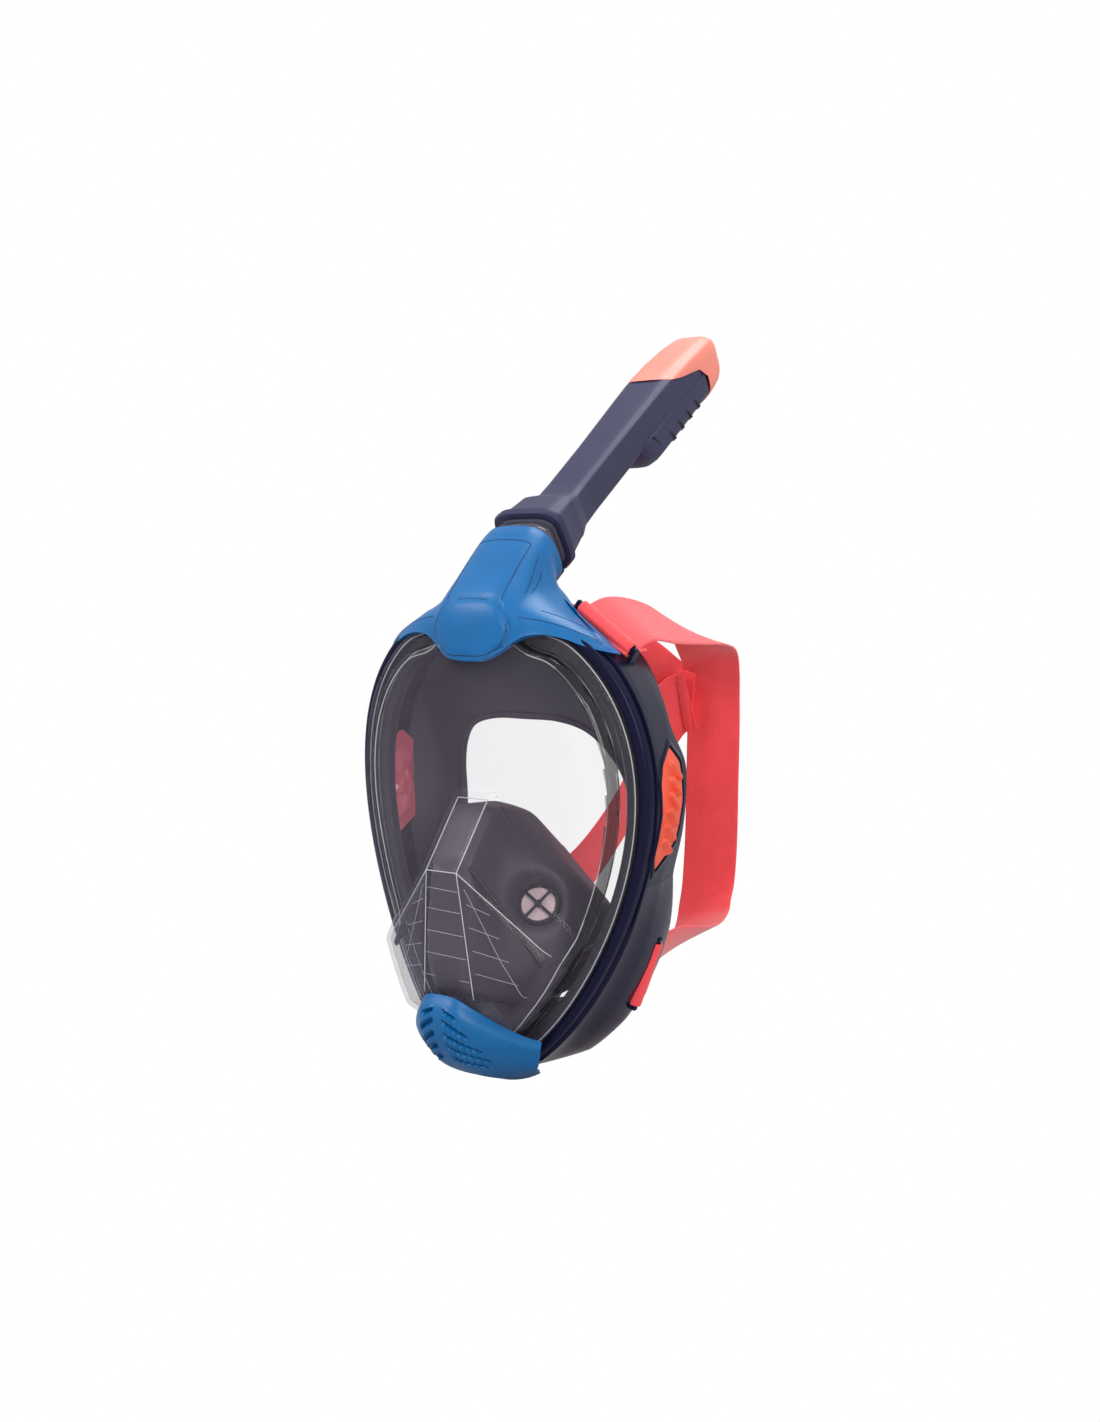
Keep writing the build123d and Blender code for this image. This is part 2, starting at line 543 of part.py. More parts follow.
with BuildPart() as snorkel_cap:
    rounded_loft([(HEAD_END + 0.2, *HEAD_SIZE, 13, HEAD_SHIFT), (222, 34.5, 37, 13, 8.5), (CAP_END, 26, 24, 9, 5)])
    rounded_loft([(HEAD_END, 30.6, 35.6, 11, HEAD_SHIFT), (221, 30, 32.6, 11, 8.5), (CAP_END - 2.4, 21, 19, 7, 5)],
                 Mode.SUBTRACT)
save(snorkel_cap, "snorkel_cap")
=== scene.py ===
import bpy
import math
from mathutils.bvhtree import BVHTree
from mathutils import Matrix, Vector
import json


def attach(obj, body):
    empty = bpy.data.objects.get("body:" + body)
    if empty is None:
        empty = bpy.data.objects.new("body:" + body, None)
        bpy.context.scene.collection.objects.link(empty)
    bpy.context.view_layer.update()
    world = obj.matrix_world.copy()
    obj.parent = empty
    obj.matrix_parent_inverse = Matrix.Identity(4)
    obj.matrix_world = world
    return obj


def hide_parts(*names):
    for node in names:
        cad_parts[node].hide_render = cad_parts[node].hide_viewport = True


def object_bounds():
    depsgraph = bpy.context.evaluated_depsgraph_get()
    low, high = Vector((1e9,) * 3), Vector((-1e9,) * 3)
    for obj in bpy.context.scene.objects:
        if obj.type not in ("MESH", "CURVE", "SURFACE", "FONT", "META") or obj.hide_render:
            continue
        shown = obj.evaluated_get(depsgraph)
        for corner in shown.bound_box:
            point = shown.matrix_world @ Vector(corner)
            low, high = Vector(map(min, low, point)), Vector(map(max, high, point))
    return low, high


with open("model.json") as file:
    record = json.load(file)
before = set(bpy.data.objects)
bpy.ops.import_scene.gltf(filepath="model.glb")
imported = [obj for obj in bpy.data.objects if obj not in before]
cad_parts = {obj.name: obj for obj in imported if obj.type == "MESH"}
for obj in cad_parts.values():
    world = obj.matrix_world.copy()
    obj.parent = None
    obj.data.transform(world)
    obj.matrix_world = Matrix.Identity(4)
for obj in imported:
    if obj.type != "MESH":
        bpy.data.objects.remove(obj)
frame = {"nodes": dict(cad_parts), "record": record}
cad_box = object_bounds()

# Lengths below are in millimetres, as in the CAD model; MM turns them into metres.
MM = 0.001
SIDES = {"left": 1, "right": -1}

# --- driving dimensions, the same as the CAD model's ---
RIM = (90.0, 128.0, -10.0)          # egg outline: half width, half height, centre height
EGG_TAPER = 0.25
SNORKEL_LEAN = math.radians(53.3)
COLLAR_FOOT = Vector((0, -21.5, 149.0))
AXIS = Vector((0, math.sin(SNORKEL_LEAN), math.cos(SNORKEL_LEAN)))
FRONT = Vector((0, -math.cos(SNORKEL_LEAN), math.sin(SNORKEL_LEAN)))
STRAP_WIDTH = 38.0
STRAP_THICKNESS = 1.4
BAR_RADIUS = 2.4
PLASTIC_WALL, SKIRT_WALL, CUP_WALL = 2.2, 1.8, 1.6
UPPER_BAR = (Vector((41.2, -39.0, 115.4)), Vector((75.2, -39.0, 90.8)))
LOWER_BAR = (Vector((75.9, -10.0, -63.2)), Vector((61.4, -10.0, -102.6)))
# Outline of the side grips on the shell: (y, z).
GRIP_OUTLINE = [(-28, 43), (-40, 33), (-43, 24), (-40, 8), (-43, -13), (-39, -22), (-15, -8),
                (-10, 13), (-14, 34)]


# --- small geometry helpers ---
def smoothstep(low, high, value):
    """0 below low, 1 above high, smooth between."""
    share = max(0.0, min(1.0, (value - low) / (high - low)))
    return share * share * (3 - 2 * share)


def table_value(rows, key):
    """Straight-line value at key from rows of (key, value), with keys rising."""
    if key <= rows[0][0]:
        return rows[0][1]
    for (k0, v0), (k1, v1) in zip(rows, rows[1:]):
        if key <= k1:
            return v0 + (v1 - v0) * (key - k0) / (k1 - k0)
    return rows[-1][1]


def egg(turn, inset=0.0, size=RIM):
    """Point (x, z) of the egg outline, wider at the top."""
    width, height, centre = size
    x = (width - inset) * math.cos(turn) * (1 + EGG_TAPER * math.sin(turn))
    z = centre + (height - inset) * math.sin(turn)
    shoulder = 4.0 * math.exp(-((abs(x) - 35) / 11) ** 2) * smoothstep(40, 90, z)
    return x, z - shoulder


def rim_y(z):
    """Depth of the rim's front face: rearmost at the cheeks, forward at forehead and chin."""
    return -52.0 - 0.0009 * (z + 25) ** 2


def catmull(points, steps, closed=False):
    """Smooth curve through points, with steps between neighbours."""
    points = [Vector(p) for p in points]
    count = len(points)
    last = count if closed else count - 1
    curve = []
    for i in range(last):
        if closed:
            a, b, c, d = (points[(i + k) % count] for k in (-1, 0, 1, 2))
        else:
            b, c = points[i], points[i + 1]
            a = points[i - 1] if i else b * 2 - c
            d = points[i + 2] if i + 2 < count else c * 2 - b
        for step in range(steps):
            t = step / steps
            curve.append(0.5 * (b * 2 + (c - a) * t + (a * 2 - b * 5 + c * 4 - d) * t ** 2
                                + (b * 3 - a - c * 3 + d) * t ** 3))
    if not closed:
        curve.append(points[-1])
    return curve


def rounded_outline(points, rounds=3, cut=0.2):
    """Closed outline with its corners cut again and again, so that they come out round."""
    outline = [Vector(p) for p in points]
    for _ in range(rounds):
        finer = []
        for i, p in enumerate(outline):
            q = outline[(i + 1) % len(outline)]
            finer += [p.lerp(q, cut), p.lerp(q, 1 - cut)]
        outline = finer
    return outline


def mirrored(point, side):
    """The point itself on side 1, its mirror image across the mask's middle on side -1."""
    return Vector((side * point.x, point.y, point.z))


def full_ring(half, steps):
    """Closed smooth ring from its right-hand half."""
    half = [Vector(p) for p in half]
    return catmull(half + [mirrored(p, -1) for p in reversed(half[1:-1])], steps, closed=True)


def add_object(name, data):
    obj = bpy.data.objects.new(name, data)
    bpy.context.scene.collection.objects.link(obj)
    return obj


def snorkel_point(station, x, lift):
    """Point at a station along the snorkel, x to the side and lift towards its front."""
    return COLLAR_FOOT + AXIS * station + FRONT * lift + Vector((x, 0, 0))


def piece(name, points, faces, material, body, replaces=(), sharp=None, extra=()):
    """A mesh piece in the row frame, riding on a body."""
    mesh = bpy.data.meshes.new(name)
    mesh.from_pydata([Vector(p) * MM for p in points], [], faces)
    mesh.validate()
    mesh.shade_smooth()
    if sharp is not None:
        mesh.set_sharp_from_angle(angle=math.radians(sharp))
    obj = add_object(name, mesh)
    for each in (material, *extra):
        mesh.materials.append(each)
    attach(obj, body)
    if replaces:
        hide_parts(*replaces)
    return obj


def ring_faces(rings, ring_size, closed=True, start=0, cap_first=False, cap_last=False, loop=False):
    """Quads between rings of equal size; loop also joins the last ring to the first."""
    faces = []
    span = ring_size if closed else ring_size - 1
    count = rings * ring_size
    for r in range(rings if loop else rings - 1):
        for k in range(span):
            a, b = r * ring_size + k, r * ring_size + (k + 1) % ring_size
            faces.append(tuple(start + n % count for n in (a, b, b + ring_size, a + ring_size)))
    if cap_first:
        faces.append(tuple(reversed(range(start, start + ring_size))))
    if cap_last:
        faces.append(tuple(range(start + count - ring_size, start + count)))
    return faces


def tubes(paths, radius, closed=False, sides=8):
    """Points and faces of thin tubes along paths."""
    points, faces = [], []
    for path in paths:
        start = len(points)
        count = len(path)
        up = Vector((0.31, 0.17, 0.93)).normalized()
        for i, p in enumerate(path):
            before = path[i - 1] if i or closed else path[0]
            after = path[(i + 1) % count] if i + 1 < count or closed else path[-1]
            along = (after - before).normalized()
            side = along.cross(up).normalized()
            rise = side.cross(along).normalized()
            for k in range(sides):
                turn = 2 * math.pi * k / sides
                points.append(p + (side * math.cos(turn) + rise * math.sin(turn)) * radius)
        faces += ring_faces(count, sides, start=start, loop=closed, cap_first=not closed,
                            cap_last=not closed)
    return points, faces


def tube_piece(name, paths, radius, material, body, closed=False):
    """Piece made of thin tubes."""
    points, faces = tubes(paths, radius, closed=closed)
    piece(name, points, faces, material, body)


def thicken(obj, thickness, offset=-1.0):
    """Gives a sheet its wall: inward with offset -1, outward with offset 1."""
    wall = obj.modifiers.new("wall", "SOLIDIFY")
    wall.thickness = thickness * MM
    wall.offset = offset
    wall.use_even_offset = True


def round_edges(obj, width, angle):
    """Small bevel along every edge sharper than the angle."""
    bevel = obj.modifiers.new("round_edges", "BEVEL")
    bevel.width = width * MM
    bevel.segments = 2
    bevel.limit_method = "ANGLE"
    bevel.angle_limit = math.radians(angle)
    bevel.harden_normals = True


# --- materials ---
def new_material(name):
    """A material with its nodes and its shader."""
    mat = bpy.data.materials.new(name)
    mat.use_nodes = True
    nodes = mat.node_tree.nodes
    return mat, nodes, nodes["Principled BSDF"]


def wire(source, output, target, into):
    """Links an output of one node to an input of another."""
    source.id_data.links.new(source.outputs[output], target.inputs[into])


def preset(node, **values):
    """Sets inputs of a node; an underscore stands for a space in an input's name."""
    for name, value in values.items():
        node.inputs[name.replace("_", " ")].default_value = value
    return node


def colour_ramp(nodes, dark, light, low=0.0, high=1.0):
    """Ramp from a dark colour at low to a light one at high."""
    ramp = nodes.new("ShaderNodeValToRGB")
    for element, colour, position in zip(ramp.color_ramp.elements, (dark, light), (low, high)):
        element.color = (*colour, 1)
        element.position = position
    return ramp


def add_bump(nodes, texture, shader, strength, distance):
    """Bump from a texture, with its distance in metres."""
    bump = preset(nodes.new("ShaderNodeBump"), Strength=strength, Distance=distance)
    wire(texture, "Fac" if "Fac" in texture.outputs else "Value", bump, "Height")
    wire(bump, "Normal", shader, "Normal")


def moulded(name, colour, roughness, grain=0.10, mottling=0.05, coat=0.0, specular=0.5,
            shine=(1.0, 1.0, 1.0)):
    """Moulded plastic or rubber: slight colour mottling, uneven gloss and a fine moulded grain."""
    mat, nodes, shader = new_material(name)
    preset(shader, Roughness=roughness, Coat_Weight=coat, Coat_Roughness=0.12,
           Specular_IOR_Level=specular, Specular_Tint=(*shine, 1))
    where = nodes.new("ShaderNodeTexCoord")
    cloud = preset(nodes.new("ShaderNodeTexNoise"), Scale=35.0, Detail=4.0)
    wire(where, "Object", cloud, "Vector")
    tint = colour_ramp(nodes, [c * (1 - mottling * 2) for c in colour],
                       [min(1.0, c * (1 + mottling)) for c in colour], 0.3, 0.7)
    wire(cloud, "Fac", tint, "Fac")
    wire(tint, "Color", shader, "Base Color")
    gloss = preset(nodes.new("ShaderNodeMapRange"), To_Min=max(0.02, roughness - 0.06),
                   To_Max=roughness + 0.08)
    wire(cloud, "Fac", gloss, "Value")
    wire(gloss, "Result", shader, "Roughness")
    fine = preset(nodes.new("ShaderNodeTexNoise"), Scale=900.0, Detail=2.0)
    wire(where, "Object", fine, "Vector")
    add_bump(nodes, fine, shader, grain, 0.0002)
    return mat


def clear(name, colour, facing_alpha, edge_alpha, roughness=0.04):
    """Clear moulded plastic: almost invisible face on, denser and shinier towards its edges."""
    mat, nodes, shader = new_material(name)
    preset(shader, Roughness=roughness, IOR=1.58, Coat_Weight=0.3, Coat_Roughness=0.03)
    where = nodes.new("ShaderNodeTexCoord")
    haze = preset(nodes.new("ShaderNodeTexNoise"), Scale=18.0)
    wire(where, "Object", haze, "Vector")
    tint = colour_ramp(nodes, [c * 0.9 for c in colour], colour)
    wire(haze, "Fac", tint, "Fac")
    wire(tint, "Color", shader, "Base Color")
    facing = preset(nodes.new("ShaderNodeLayerWeight"), Blend=0.35)
    density = preset(nodes.new("ShaderNodeMapRange"), To_Min=facing_alpha, To_Max=edge_alpha)
    wire(facing, "Facing", density, "Value")
    wire(density, "Result", shader, "Alpha")
    return mat


def webbing(name, colour):
    """Elastic webbing: fine ribs along its length, a weave across, soft sheen."""
    mat, nodes, shader = new_material(name)
    preset(shader, Roughness=0.75, Sheen_Weight=0.35, Sheen_Roughness=0.4)
    where = nodes.new("ShaderNodeUVMap")
    where.uv_map = "strap"
    ribs = preset(nodes.new("ShaderNodeTexWave"), Scale=190.0, Distortion=0.4)
    ribs.bands_direction = "X"
    picks = preset(nodes.new("ShaderNodeTexWave"), Scale=260.0, Distortion=0.6)
    picks.bands_direction = "Y"
    cloud = preset(nodes.new("ShaderNodeTexNoise"), Scale=60.0)
    for texture in (ribs, picks, cloud):
        wire(where, "UV", texture, "Vector")
    weave = nodes.new("ShaderNodeMath")
    weave.operation = "MULTIPLY"
    wire(ribs, "Fac", weave, 0)
    wire(picks, "Fac", weave, 1)
    mix = nodes.new("ShaderNodeMath")
    mix.operation = "ADD"
    wire(weave, "Value", mix, 0)
    wire(cloud, "Fac", mix, 1)
    tint = colour_ramp(nodes, [c * 0.80 for c in colour],
                       [min(1.0, c * 1.06 + 0.01) for c in colour])
    wire(mix, "Value", tint, "Fac")
    wire(tint, "Color", shader, "Base Color")
    add_bump(nodes, weave, shader, 0.35, 0.0004)
    return mat


BLUE = moulded("blue_plastic", (0.001, 0.130, 0.365), 0.36, specular=0.4)
# Dark blue for thin tubes along the cover's grooves and plate border: painted shade in grooves that are
# not cut into the surface.
BLUE_GROOVE_SHADE = moulded("blue_groove_shade", (0.002, 0.025, 0.100), 0.5)
NAVY = moulded("navy_plastic", (0.007, 0.007, 0.026), 0.28, specular=0.2, shine=(0.6, 0.6, 1.0))
NAVY_TUBE = moulded("navy_tube", (0.034, 0.034, 0.080), 0.46, grain=0.03, specular=0.35,
                    shine=(0.8, 0.8, 1.0))
NAVY_GLOSS = moulded("navy_gloss", (0.006, 0.006, 0.022), 0.13, grain=0.03, specular=0.3,
                     shine=(0.6, 0.6, 1.0))
# Near-black navy for the vent slots drawn as tubes: painted shade standing for the openings.
NAVY_VENT_SHADE = moulded("navy_vent_shade", (0.004, 0.004, 0.010), 0.5)
SALMON = moulded("salmon_plastic", (0.96, 0.270, 0.200), 0.42, grain=0.03)
ORANGE = moulded("orange_rubber", (0.93, 0.110, 0.050), 0.48, grain=0.2)
SILICONE = moulded("grey_silicone", (0.050, 0.041, 0.055), 0.50, grain=0.01)
PINK_INSET = moulded("grip_backing", (1.0, 0.17, 0.22), 0.12, grain=0.03, coat=0.6)
SILICONE_DARK = moulded("dark_gasket", (0.008, 0.008, 0.010), 0.4)
PALE_SILICONE = moulded("pale_silicone", (0.80, 0.58, 0.62), 0.35)
FOAM = moulded("float_plastic", (0.78, 0.78, 0.76), 0.6, grain=0.4)
WINDOW = clear("clear_window", (0.24, 0.205, 0.28), 0.06, 0.34)
# Near-black, mostly opaque clear material for the window's wall step: painted shade standing for the dark
# look the clear wall gets from refraction.
WINDOW_WALL_SHADE = clear("window_wall_shade", (0.012, 0.010, 0.013), 0.55, 0.9)
# Near-white clear material for thin tubes along the window's edges and beak: painted highlights standing
# for the glints at those edges.
WINDOW_HIGHLIGHT = clear("window_edge_highlight", (0.92, 0.92, 0.95), 0.55, 0.9)
SMOKE = clear("smoky_clear", (0.10, 0.095, 0.13), 0.75, 0.95, roughness=0.12)
CORAL = webbing("coral_webbing", (0.98, 0.068, 0.078))
SOFT = {"grey_silicone": SILICONE, "clear_silicone": PALE_SILICONE, "navy_plastic": NAVY,
        "smoky_clear": SMOKE, "float_plastic": FOAM}


# --- camera ---
CAMERA_AZIMUTH = math.radians(32.5)
CAMERA_ELEVATION = math.radians(3.6)
CAMERA_ROLL = math.radians(0.8)
CAMERA_DISTANCE = 800.8
CAMERA_ACROSS, CAMERA_UP = 25.7, 57.6
CAMERA_DEPTH_OFFSET = Vector((0, -48.0, 0))
CAMERA_LENS = 37.44


def make_camera():
    """Camera at the photograph's viewing angle."""
    back = Vector((math.sin(CAMERA_AZIMUTH) * math.cos(CAMERA_ELEVATION),
                   -math.cos(CAMERA_AZIMUTH) * math.cos(CAMERA_ELEVATION), math.sin(CAMERA_ELEVATION)))
    level = Vector((math.cos(CAMERA_AZIMUTH), math.sin(CAMERA_AZIMUTH), 0))
    upright = back.cross(level)
    right = level * math.cos(CAMERA_ROLL) + upright * math.sin(CAMERA_ROLL)
    up = upright * math.cos(CAMERA_ROLL) - level * math.sin(CAMERA_ROLL)
    target = right * CAMERA_ACROSS + up * CAMERA_UP + CAMERA_DEPTH_OFFSET
    data = bpy.data.cameras.new("camera")
    data.lens = CAMERA_LENS
    data.sensor_width = 36.0
    data.clip_start, data.clip_end = 0.01, 50.0
    camera = add_object("camera", data)
    turn = Matrix((right, up, back)).transposed().to_4x4()
    camera.matrix_world = Matrix.Translation((target + back * CAMERA_DISTANCE) * MM) @ turn
    bpy.context.scene.camera = camera


# --- window ---
WINDOW_INSET = 6.3
FLANGE_WIDTH, WALL_WIDTH = 8.5, 3.2      # flat flange inside the rim, then the wall up to the face
FLANGE_RISE, FACE_RISE, DOME_RISE = 3.6, 10.5, 8.5
# The beak is the nose and mouth chamber's front: depth, half width and height of its upper corner.
BEAK_DEPTH, BEAK_HALF, BEAK_TOP = -103.0, 9.5, -22.0
WINDOW_TURNS, WINDOW_RINGS, LOOP_STEPS = 288, 120, 180


def beak_y(x, z):
    """Depth of the nose and mouth chamber: the rearmost of the planes that bound it."""
    x = abs(x)
    front = BEAK_DEPTH + 8.0 * (BEAK_TOP - z) / 68.0
    top = BEAK_DEPTH + 0.78 * (z - BEAK_TOP)
    low_side = BEAK_DEPTH + 0.4185 * (x - BEAK_HALF) - 0.0777 * (z - BEAK_TOP)
    high_side = BEAK_DEPTH + 1.3295 * (x - BEAK_HALF) + 0.7316 * (z - BEAK_TOP)
    chin = -96.0 + 0.9 * (-88.0 - z)
    return max(front, top, low_side, high_side, chin)


def dome_y(z, from_edge, share):
    """Depth of the window without its beak, by distance from the window's edge."""
    rise = 1.0 + (FLANGE_RISE - 1.0) * smoothstep(0, 2.0, from_edge)
    rise += (FACE_RISE - FLANGE_RISE) * smoothstep(FLANGE_WIDTH, FLANGE_WIDTH + WALL_WIDTH, from_edge)
    rise += DOME_RISE * (1 - share ** 2) * smoothstep(FLANGE_WIDTH, FLANGE_WIDTH + 20, from_edge)
    return rim_y(z) - rise


def window_reach(turn):
    """Distance from the egg's middle to the window's edge in one direction."""
    x, z = egg(turn, WINDOW_INSET)
    return math.hypot(x, z - RIM[2])


def window_point(turn, share):
    """Point of the window's front surface: share is 0 at its middle and 1 at its edge."""
    ex, ez = egg(turn, WINDOW_INSET)
    x, z = ex * share, RIM[2] + (ez - RIM[2]) * share
    reach = math.hypot(ex, ez - RIM[2])
    from_edge = reach * (1 - share)
    flat, beak = dome_y(z, from_edge, share), beak_y(x, z)
    blend = 1.2
    mixed = 0.5 + 0.5 * max(-1.0, min(1.0, (flat - beak) / blend))
    hold = smoothstep(FLANGE_WIDTH, FLANGE_WIDTH + WALL_WIDTH + 5, from_edge)
    y = flat + ((beak - flat) * mixed - blend * mixed * (1 - mixed) * 0.5) * hold
    return Vector((x, y, z))


def window_at(x, z):
    """Point of the window's front surface over (x, z)."""
    turn = math.atan2((z - RIM[2]) / (RIM[1] - WINDOW_INSET), x / (RIM[0] - WINDOW_INSET))
    for _ in range(6):
        ex, ez = egg(turn, WINDOW_INSET)
        turn += math.atan2(z - RIM[2], x) - math.atan2(ez - RIM[2], ex)
    return window_point(turn, math.hypot(x, z - RIM[2]) / window_reach(turn))


def over(route, side=1, steps=14, lift=0.2):
    """Path just in front of the window over a route of (x, z), mirrored on side -1."""
    route = [(side * x, z) for x, z in route]
    path = []
    for (x0, z0), (x1, z1) in zip(route, route[1:]):
        for k in range(steps):
            share = k / steps
            path.append(window_at(x0 + (x1 - x0) * share, z0 + (z1 - z0) * share)
                        - Vector((0, lift, 0)))
    path.append(window_at(*route[-1]) - Vector((0, lift, 0)))
    return path


def window_loop(from_edge, lift):
    """Closed path along the window at a distance from its edge."""
    turns = [2 * math.pi * t / LOOP_STEPS for t in range(LOOP_STEPS)]
    return [window_point(turn, 1 - from_edge / window_reach(turn)) + Vector((0, lift, 0))
            for turn in turns]


def make_window():
    shares = [1 - (k / WINDOW_RINGS) ** 1.15 for k in range(WINDOW_RINGS)] + [0.004]
    points = [window_point(2 * math.pi * t / WINDOW_TURNS, s) for s in shares
              for t in range(WINDOW_TURNS)]
    faces = ring_faces(len(shares), WINDOW_TURNS, cap_last=True)
    obj = piece("lens_shell", points, faces, WINDOW, "mask", ["lens"],
                extra=(WINDOW_WALL_SHADE,))
    # Faces of the wall step between flange and face take the second, near-black material: painted shade
    # on the clear wall.
    for face in obj.data.polygons:
        reach = window_reach(2 * math.pi * (face.index % WINDOW_TURNS) / WINDOW_TURNS)
        centre = face.center / MM
        from_edge = reach - math.hypot(centre.x, centre.z - RIM[2])
        on_dome = abs(centre.y - dome_y(centre.z, from_edge, 1 - from_edge / reach)) < 2
        if FLANGE_WIDTH + 0.2 < from_edge < FLANGE_WIDTH + WALL_WIDTH and on_dome:
            face.material_index = 1
    thicken(obj, PLASTIC_WALL, offset=1.0)

    # Bright tubes along the window's rim, flange and wall: painted highlights for the edge glints.
    loops = [window_loop(0.3, -0.3), window_loop(FLANGE_WIDTH, -0.2),
             window_loop(FLANGE_WIDTH + WALL_WIDTH, -0.1)]
    tube_piece("lens_edge_highlight_lines", loops, 0.32, WINDOW_HIGHLIGHT, "mask", closed=True)

    brow = 13                                      # height at which the beak meets the forehead
    strong, fine = [], []
    for side in (1, -1):
        strong.append(over([(BEAK_HALF, brow), (BEAK_HALF, BEAK_TOP), (15.8, -88)], side))
        strong.append(over([(BEAK_HALF, BEAK_TOP), (51, -64)], side))
        fine.append(over([(13, -30), (22, -50), (30, -68), (40, -86)], side))
        for z in (-38, -50, -62, -74):
            fine.append(over([(12.5 + 0.09 * (BEAK_TOP - z), z), (25 + 0.35 * (-38 - z), z - 5)],
                             side, steps=8))
    strong.append(over([(-BEAK_HALF, BEAK_TOP), (BEAK_HALF, BEAK_TOP)]))
    strong.append(over([(-BEAK_HALF, brow), (BEAK_HALF, brow)]))
    for z in (-31, -42, -54, -66, -78):
        half = BEAK_HALF + 6.3 * (BEAK_TOP - z) / 66 - 1.0
        fine.append(over([(-half, z), (half, z - 1.0)], steps=6))
    # Bright tubes along the beak's edges and panel lines: painted highlights.
    tube_piece("lens_beak_edge_highlights", strong, 0.26, WINDOW_HIGHLIGHT, "mask")
    tube_piece("lens_panel_highlight_lines", fine, 0.11, WINDOW_HIGHLIGHT, "mask")

    edge = [(12, -20), (30, -43), (48, -70), (60, -62), (75, -51)]
    gasket = [[p + Vector((0, 3.4, 0)) for p in over(edge, side)] for side in (1, -1)]
    tube_piece("chamber_gasket", gasket, 1.1, SILICONE_DARK, "mask")


# --- frame ---
SHELL_ROWS = [(-48, (89.5, 127.5, -10.0)), (-25, (87.2, 125.0, -10.0)), (8, (82.0, 119.0, -9.0))]
SHELL_BACK = [(-150, -26), (-125, -6), (-97, 2), (-64, 2), (-52, 0), (-38, -4), (-22, -7), (-8, -5),
              (34, -4), (40, -9), (52, -20), (70, -18), (92, -10), (130, -14)]
FRAME_STEPS = 240
GLOSS_BELOW = -0.030                # metres: the shell below this height is the glossy jaw
JAW_FLARE = [(-142, 6), (-131, 7), (-118, 12), (-100, 13), (-70, 9), (-55, 6.5), (-42, 3.5), (-28, 0)]


def jaw(x, z, y):
    """Pushes a shell point outward where the jaw flares towards the back."""
    flare = table_value(JAW_FLARE, z) * smoothstep(-50, -4, y)
    reach = math.hypot(x, z - RIM[2])
    return x + x / reach * flare, z + (z - RIM[2]) / reach * flare


def shell_size(y):
    """Egg size of the side shell at depth y."""
    for (y0, s0), (y1, s1) in zip(SHELL_ROWS, SHELL_ROWS[1:]):
        if y <= y1 or y1 == SHELL_ROWS[-1][0]:
            share = max(0.0, min(1.15, (y - y0) / (y1 - y0)))
            return tuple(a + (b - a) * share for a, b in zip(s0, s1))
    return SHELL_ROWS[-1][1]


def shell_point(y, z, side, lift=0.0):
    """Point on the side shell at depth y and height z, lifted off it."""
    width, height, centre = shell_size(y)
    rise = max(-1.0, min(1.0, (z - centre) / height))
    x = width * math.sqrt(1 - rise * rise) * (1 + EGG_TAPER * rise)
    return Vector((side * (x + lift), y, z))


def rim_band(profile):
    """Points and faces of a band along the rim, from its profile of (inset, depth behind the rim)."""
    points = []
    for t in range(FRAME_STEPS):
        for inset, back in profile:
            x, z = egg(2 * math.pi * t / FRAME_STEPS, inset)
            points.append(Vector((x, rim_y(z) + back, z)))
    return points, ring_faces(FRAME_STEPS, len(profile), loop=True)


def make_frame():
    points, faces = rim_band([(6.0, 8.0), (6.0, 1.2), (5.5, 0.3), (4.8, 0.0), (1.8, 0.2), (0.6, 0.9),
                              (0.0, 2.2), (0.0, 8.0)])
    piece("front_rim_ring", points, faces, NAVY, "mask", ["front_rim"], sharp=50)

    rows = 26
    points = []
    for r in range(rows):
        share = r / (rows - 1)
        for t in range(FRAME_STEPS):
            turn = 2 * math.pi * t / FRAME_STEPS
            rim_z = egg(turn)[1]
            front = rim_y(rim_z) + 8.2
            back = sum(table_value(SHELL_BACK, rim_z + k) for k in (-4, -2, 0, 2, 4)) / 5
            y = front + (back - front) * share
            inset = 1.2 if r < 2 else 0.0
            x, z = jaw(*egg(turn, inset, shell_size(y)), y)
            points.append(Vector((x, y - (0.0 if r != 2 else (back - front) / rows * 0.9), z)))
    shell = piece("side_shell", points, ring_faces(rows, FRAME_STEPS), NAVY, "mask",
                  ["rear_shell"], sharp=40, extra=(NAVY_GLOSS,))
    for face in shell.data.polygons:
        if face.center.z < GLOSS_BELOW:
            face.material_index = 1
    thicken(shell, PLASTIC_WALL)

    points, faces = rim_band([(6.6, 5.0), (14.0, 4.0), (15.5, 6.0), (15.5, 9.0), (6.6, 11.0)])
    piece("inner_frame_ring", points, faces, SILICONE_DARK, "mask", sharp=50)


def patch(outline, shares, lifts, side, bumps=()):
    """Raised patch on the side shell: outline in (y, z), shares of it from rim to middle with lifts."""
    centre = sum(outline, Vector((0, 0))) / len(outline)
    points = []
    for share, lift in zip(shares, lifts):
        for corner in outline:
            y, z = centre + (corner - centre) * share
            extra = 0.0
            if share < 0.98:
                for (by, bz), along, length, radius, height in bumps:
                    offset = Vector((y - by, z - bz))
                    run = max(-length, min(length, offset.dot(along)))
                    gap = (offset - along * run).length / radius
                    share_in = height * (1 - smoothstep(0.5, 1.0, gap))
                    extra = share_in if abs(share_in) > abs(extra) else extra
            points.append(shell_point(y, z, side, lift + extra))
    faces = ring_faces(len(shares), len(outline), cap_last=True)
    if side > 0:
        faces = [tuple(reversed(f)) for f in faces]
    return points, faces


